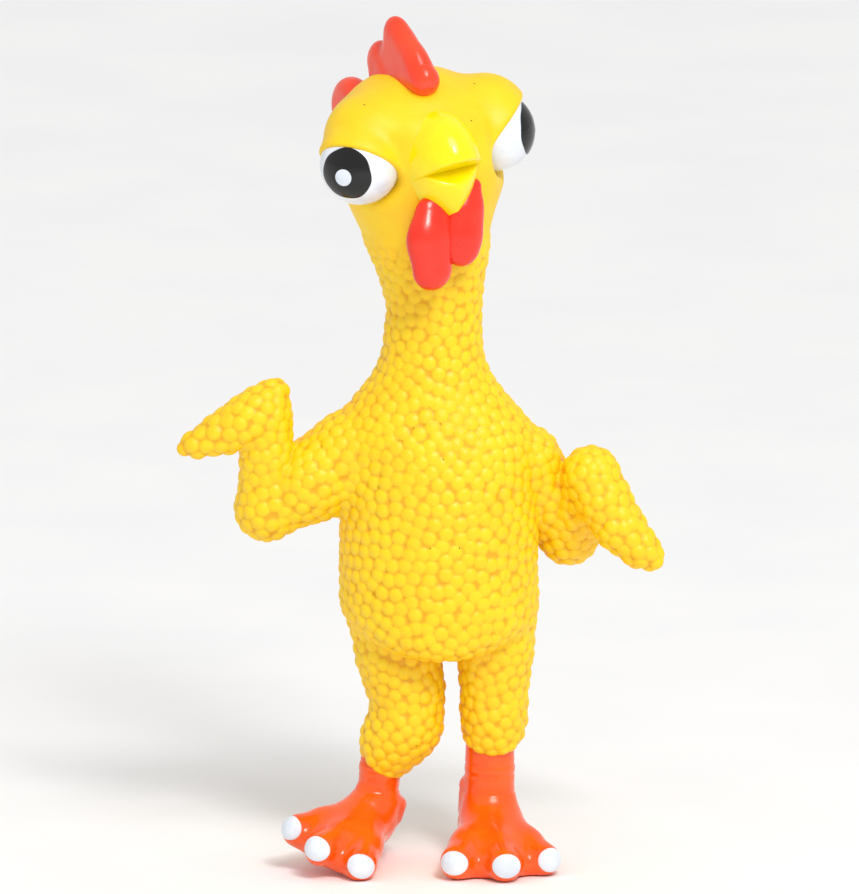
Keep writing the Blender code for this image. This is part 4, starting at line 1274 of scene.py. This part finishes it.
class CHICKEN_OT_squeaker(bpy.types.Operator):
    """Make the squeaker's flange and sound holes, and finish its reed block and reed"""

    bl_idname = "chicken.squeaker"
    bl_label = "Squeaker"

    def execute(self, context):
        plastic = plastic_finish()
        brass = brass_finish()
        low, high = [np.array(corner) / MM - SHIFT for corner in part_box("squeaker_case")]
        x, z = (low[0] + high[0]) / 2, (low[2] + high[2]) / 2
        flange = high[1] - 1.6

        def case(points):
            reach = np.sqrt((points[:, 0] - x) ** 2 + (points[:, 2] - z) ** 2)
            depth = points[:, 1]
            plug = np.maximum(reach - 8.1, 9.0 - depth)
            plate = shared(shared(reach - (high[0] - x), depth - high[1], 1.0), flange - depth, 0.4)
            return shared(merge(plug, plate, 0.6), -(reach - 6.8), 0.4)

        def grille(points):
            reach = np.sqrt((points[:, 0] - x) ** 2 + (points[:, 2] - z) ** 2)
            depth = points[:, 1]
            disc = shared(shared(reach - 6.75, depth - flange - 0.9, 0.4), flange - 0.6 - depth, 0.2)
            for i in range(7):
                turn = i * math.pi / 3
                spread = 0.0 if i == 6 else 3.9
                hole_x, hole_z = x + spread * math.cos(turn), z + spread * math.sin(turn)
                hole = np.sqrt((points[:, 0] - hole_x) ** 2 + (points[:, 2] - hole_z) ** 2) - 1.05
                disc = shared(disc, -hole, 0.3)
            return disc

        for name, form in (("squeaker_case", case), ("squeaker_grille", grille)):
            piece = sculpted_piece("moulded_" + name, form, (x - 12, 6.0, z - 12), (x + 12, 27.0, z + 12),
                                   0.6, plastic)
            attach(piece, "torso")
            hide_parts(name)
        for name, material in (("reed_block", plastic), ("squeaker_reed", brass)):
            for place in frame["nodes"][name].material_slots:
                place.material = material
        return {"FINISHED"}


# ---------------------------------------------------------------- stage

FLOOR_HALF = 9          # metres
CAMERA_TILT, CAMERA_DISTANCE = math.radians(12.0), 5.284


class CHICKEN_OT_stage(bpy.types.Operator):
    """Lay a wide pale floor, light it softly, and set the camera"""

    bl_idname = "chicken.stage"
    bl_label = "Stage"

    def execute(self, context):
        scene = context.scene
        mesh = bpy.data.meshes.new("floor")
        corners = [(x * FLOOR_HALF, y * FLOOR_HALF, 0) for x, y in ((-1, -1), (1, -1), (1, 1), (-1, 1))]
        mesh.from_pydata(corners, [], [(0, 1, 2, 3)])
        # Uncoated white card: matt, with shade that drifts too faintly to see as marks.
        card, tree, shader = new_finish("white_paper_floor", 0.85)
        pale = mottled(tree, linear("#FAFAFA"), linear("#F7F7F8"), 60.0)
        tree.links.new(pale, shader.inputs["Base Color"])
        floor = add_piece("floor", mesh, card)

        world = bpy.data.worlds.new("soft_room")
        world.use_nodes = True
        world.node_tree.nodes["Background"].inputs["Color"].default_value = (1.0, 1.0, 1.0, 1.0)
        world.node_tree.nodes["Background"].inputs["Strength"].default_value = 0.68
        scene.world = world
        scene.view_settings.view_transform = "Standard"
        aim = to_world((-3.3, 0.0, 112.2))
        for name, kind, place, size, power in (
                ("key_softbox", "AREA", (0.30, -0.75, 0.85), 0.20, 3.6),
                ("ceiling_bounce", "SUN", (0.25, -0.6, 1.0), math.radians(25.0), 0.9)):
            lamp = bpy.data.lights.new(name, kind)
            if kind == "AREA":
                lamp.size = size
            else:
                lamp.angle = size
            lamp.energy = power
            lamp.color = (1.0, 0.99, 0.97)
            lamp_object = bpy.data.objects.new(name, lamp)
            scene.collection.objects.link(lamp_object)
            lamp_object.location = place
            point_at(lamp_object, aim)

        camera = bpy.data.cameras.new("camera")
        camera.lens = 800.0
        camera.sensor_width = 36.0
        camera.clip_end = 30.0
        view = bpy.data.objects.new("camera", camera)
        scene.collection.objects.link(view)
        away = np.array((0.0, -math.cos(CAMERA_TILT), math.sin(CAMERA_TILT)))
        view.location = aim + away * CAMERA_DISTANCE
        point_at(view, aim)
        scene.camera = view
        return {"FINISHED"}


def point_at(item, target):
    """Turn a lamp or camera towards a place."""
    away = Vector(item.location) - Vector(target)
    item.rotation_euler = away.to_track_quat("Z", "Y").to_euler()


class CHICKEN_PT_looks(bpy.types.Panel):
    """Steps that build the chicken's looks"""

    bl_label = "Rubber Chicken"
    bl_idname = "CHICKEN_PT_looks"
    bl_space_type = "VIEW_3D"
    bl_region_type = "UI"
    bl_category = "Rubber Chicken"

    def draw(self, context):
        layout = self.layout
        for group in (context.scene.chicken_sizes, context.scene.chicken_paints):
            for key in group.__annotations__:
                layout.prop(group, key)
        for step in STEPS:
            layout.operator(step.bl_idname)


STEPS = (CHICKEN_OT_skin, CHICKEN_OT_feet, CHICKEN_OT_face, CHICKEN_OT_eyes, CHICKEN_OT_squeaker,
         CHICKEN_OT_stage)
CLASSES = (ChickenPaints, ChickenSizes) + STEPS + (CHICKEN_PT_looks,)


def register():
    """Make the steps, the panel and their settings known to Blender."""
    for cls in CLASSES:
        bpy.utils.register_class(cls)
    bpy.types.Scene.chicken_paints = bpy.props.PointerProperty(type=ChickenPaints)
    bpy.types.Scene.chicken_sizes = bpy.props.PointerProperty(type=ChickenSizes)


def unregister():
    """Take them away again."""
    del bpy.types.Scene.chicken_sizes
    del bpy.types.Scene.chicken_paints
    for cls in reversed(CLASSES):
        bpy.utils.unregister_class(cls)


def main():
    """Run every step in order."""
    register()
    for step in STEPS:
        family, action = step.bl_idname.split(".")
        getattr(getattr(bpy.ops, family), action)()


if __name__ == "__main__":
    main()
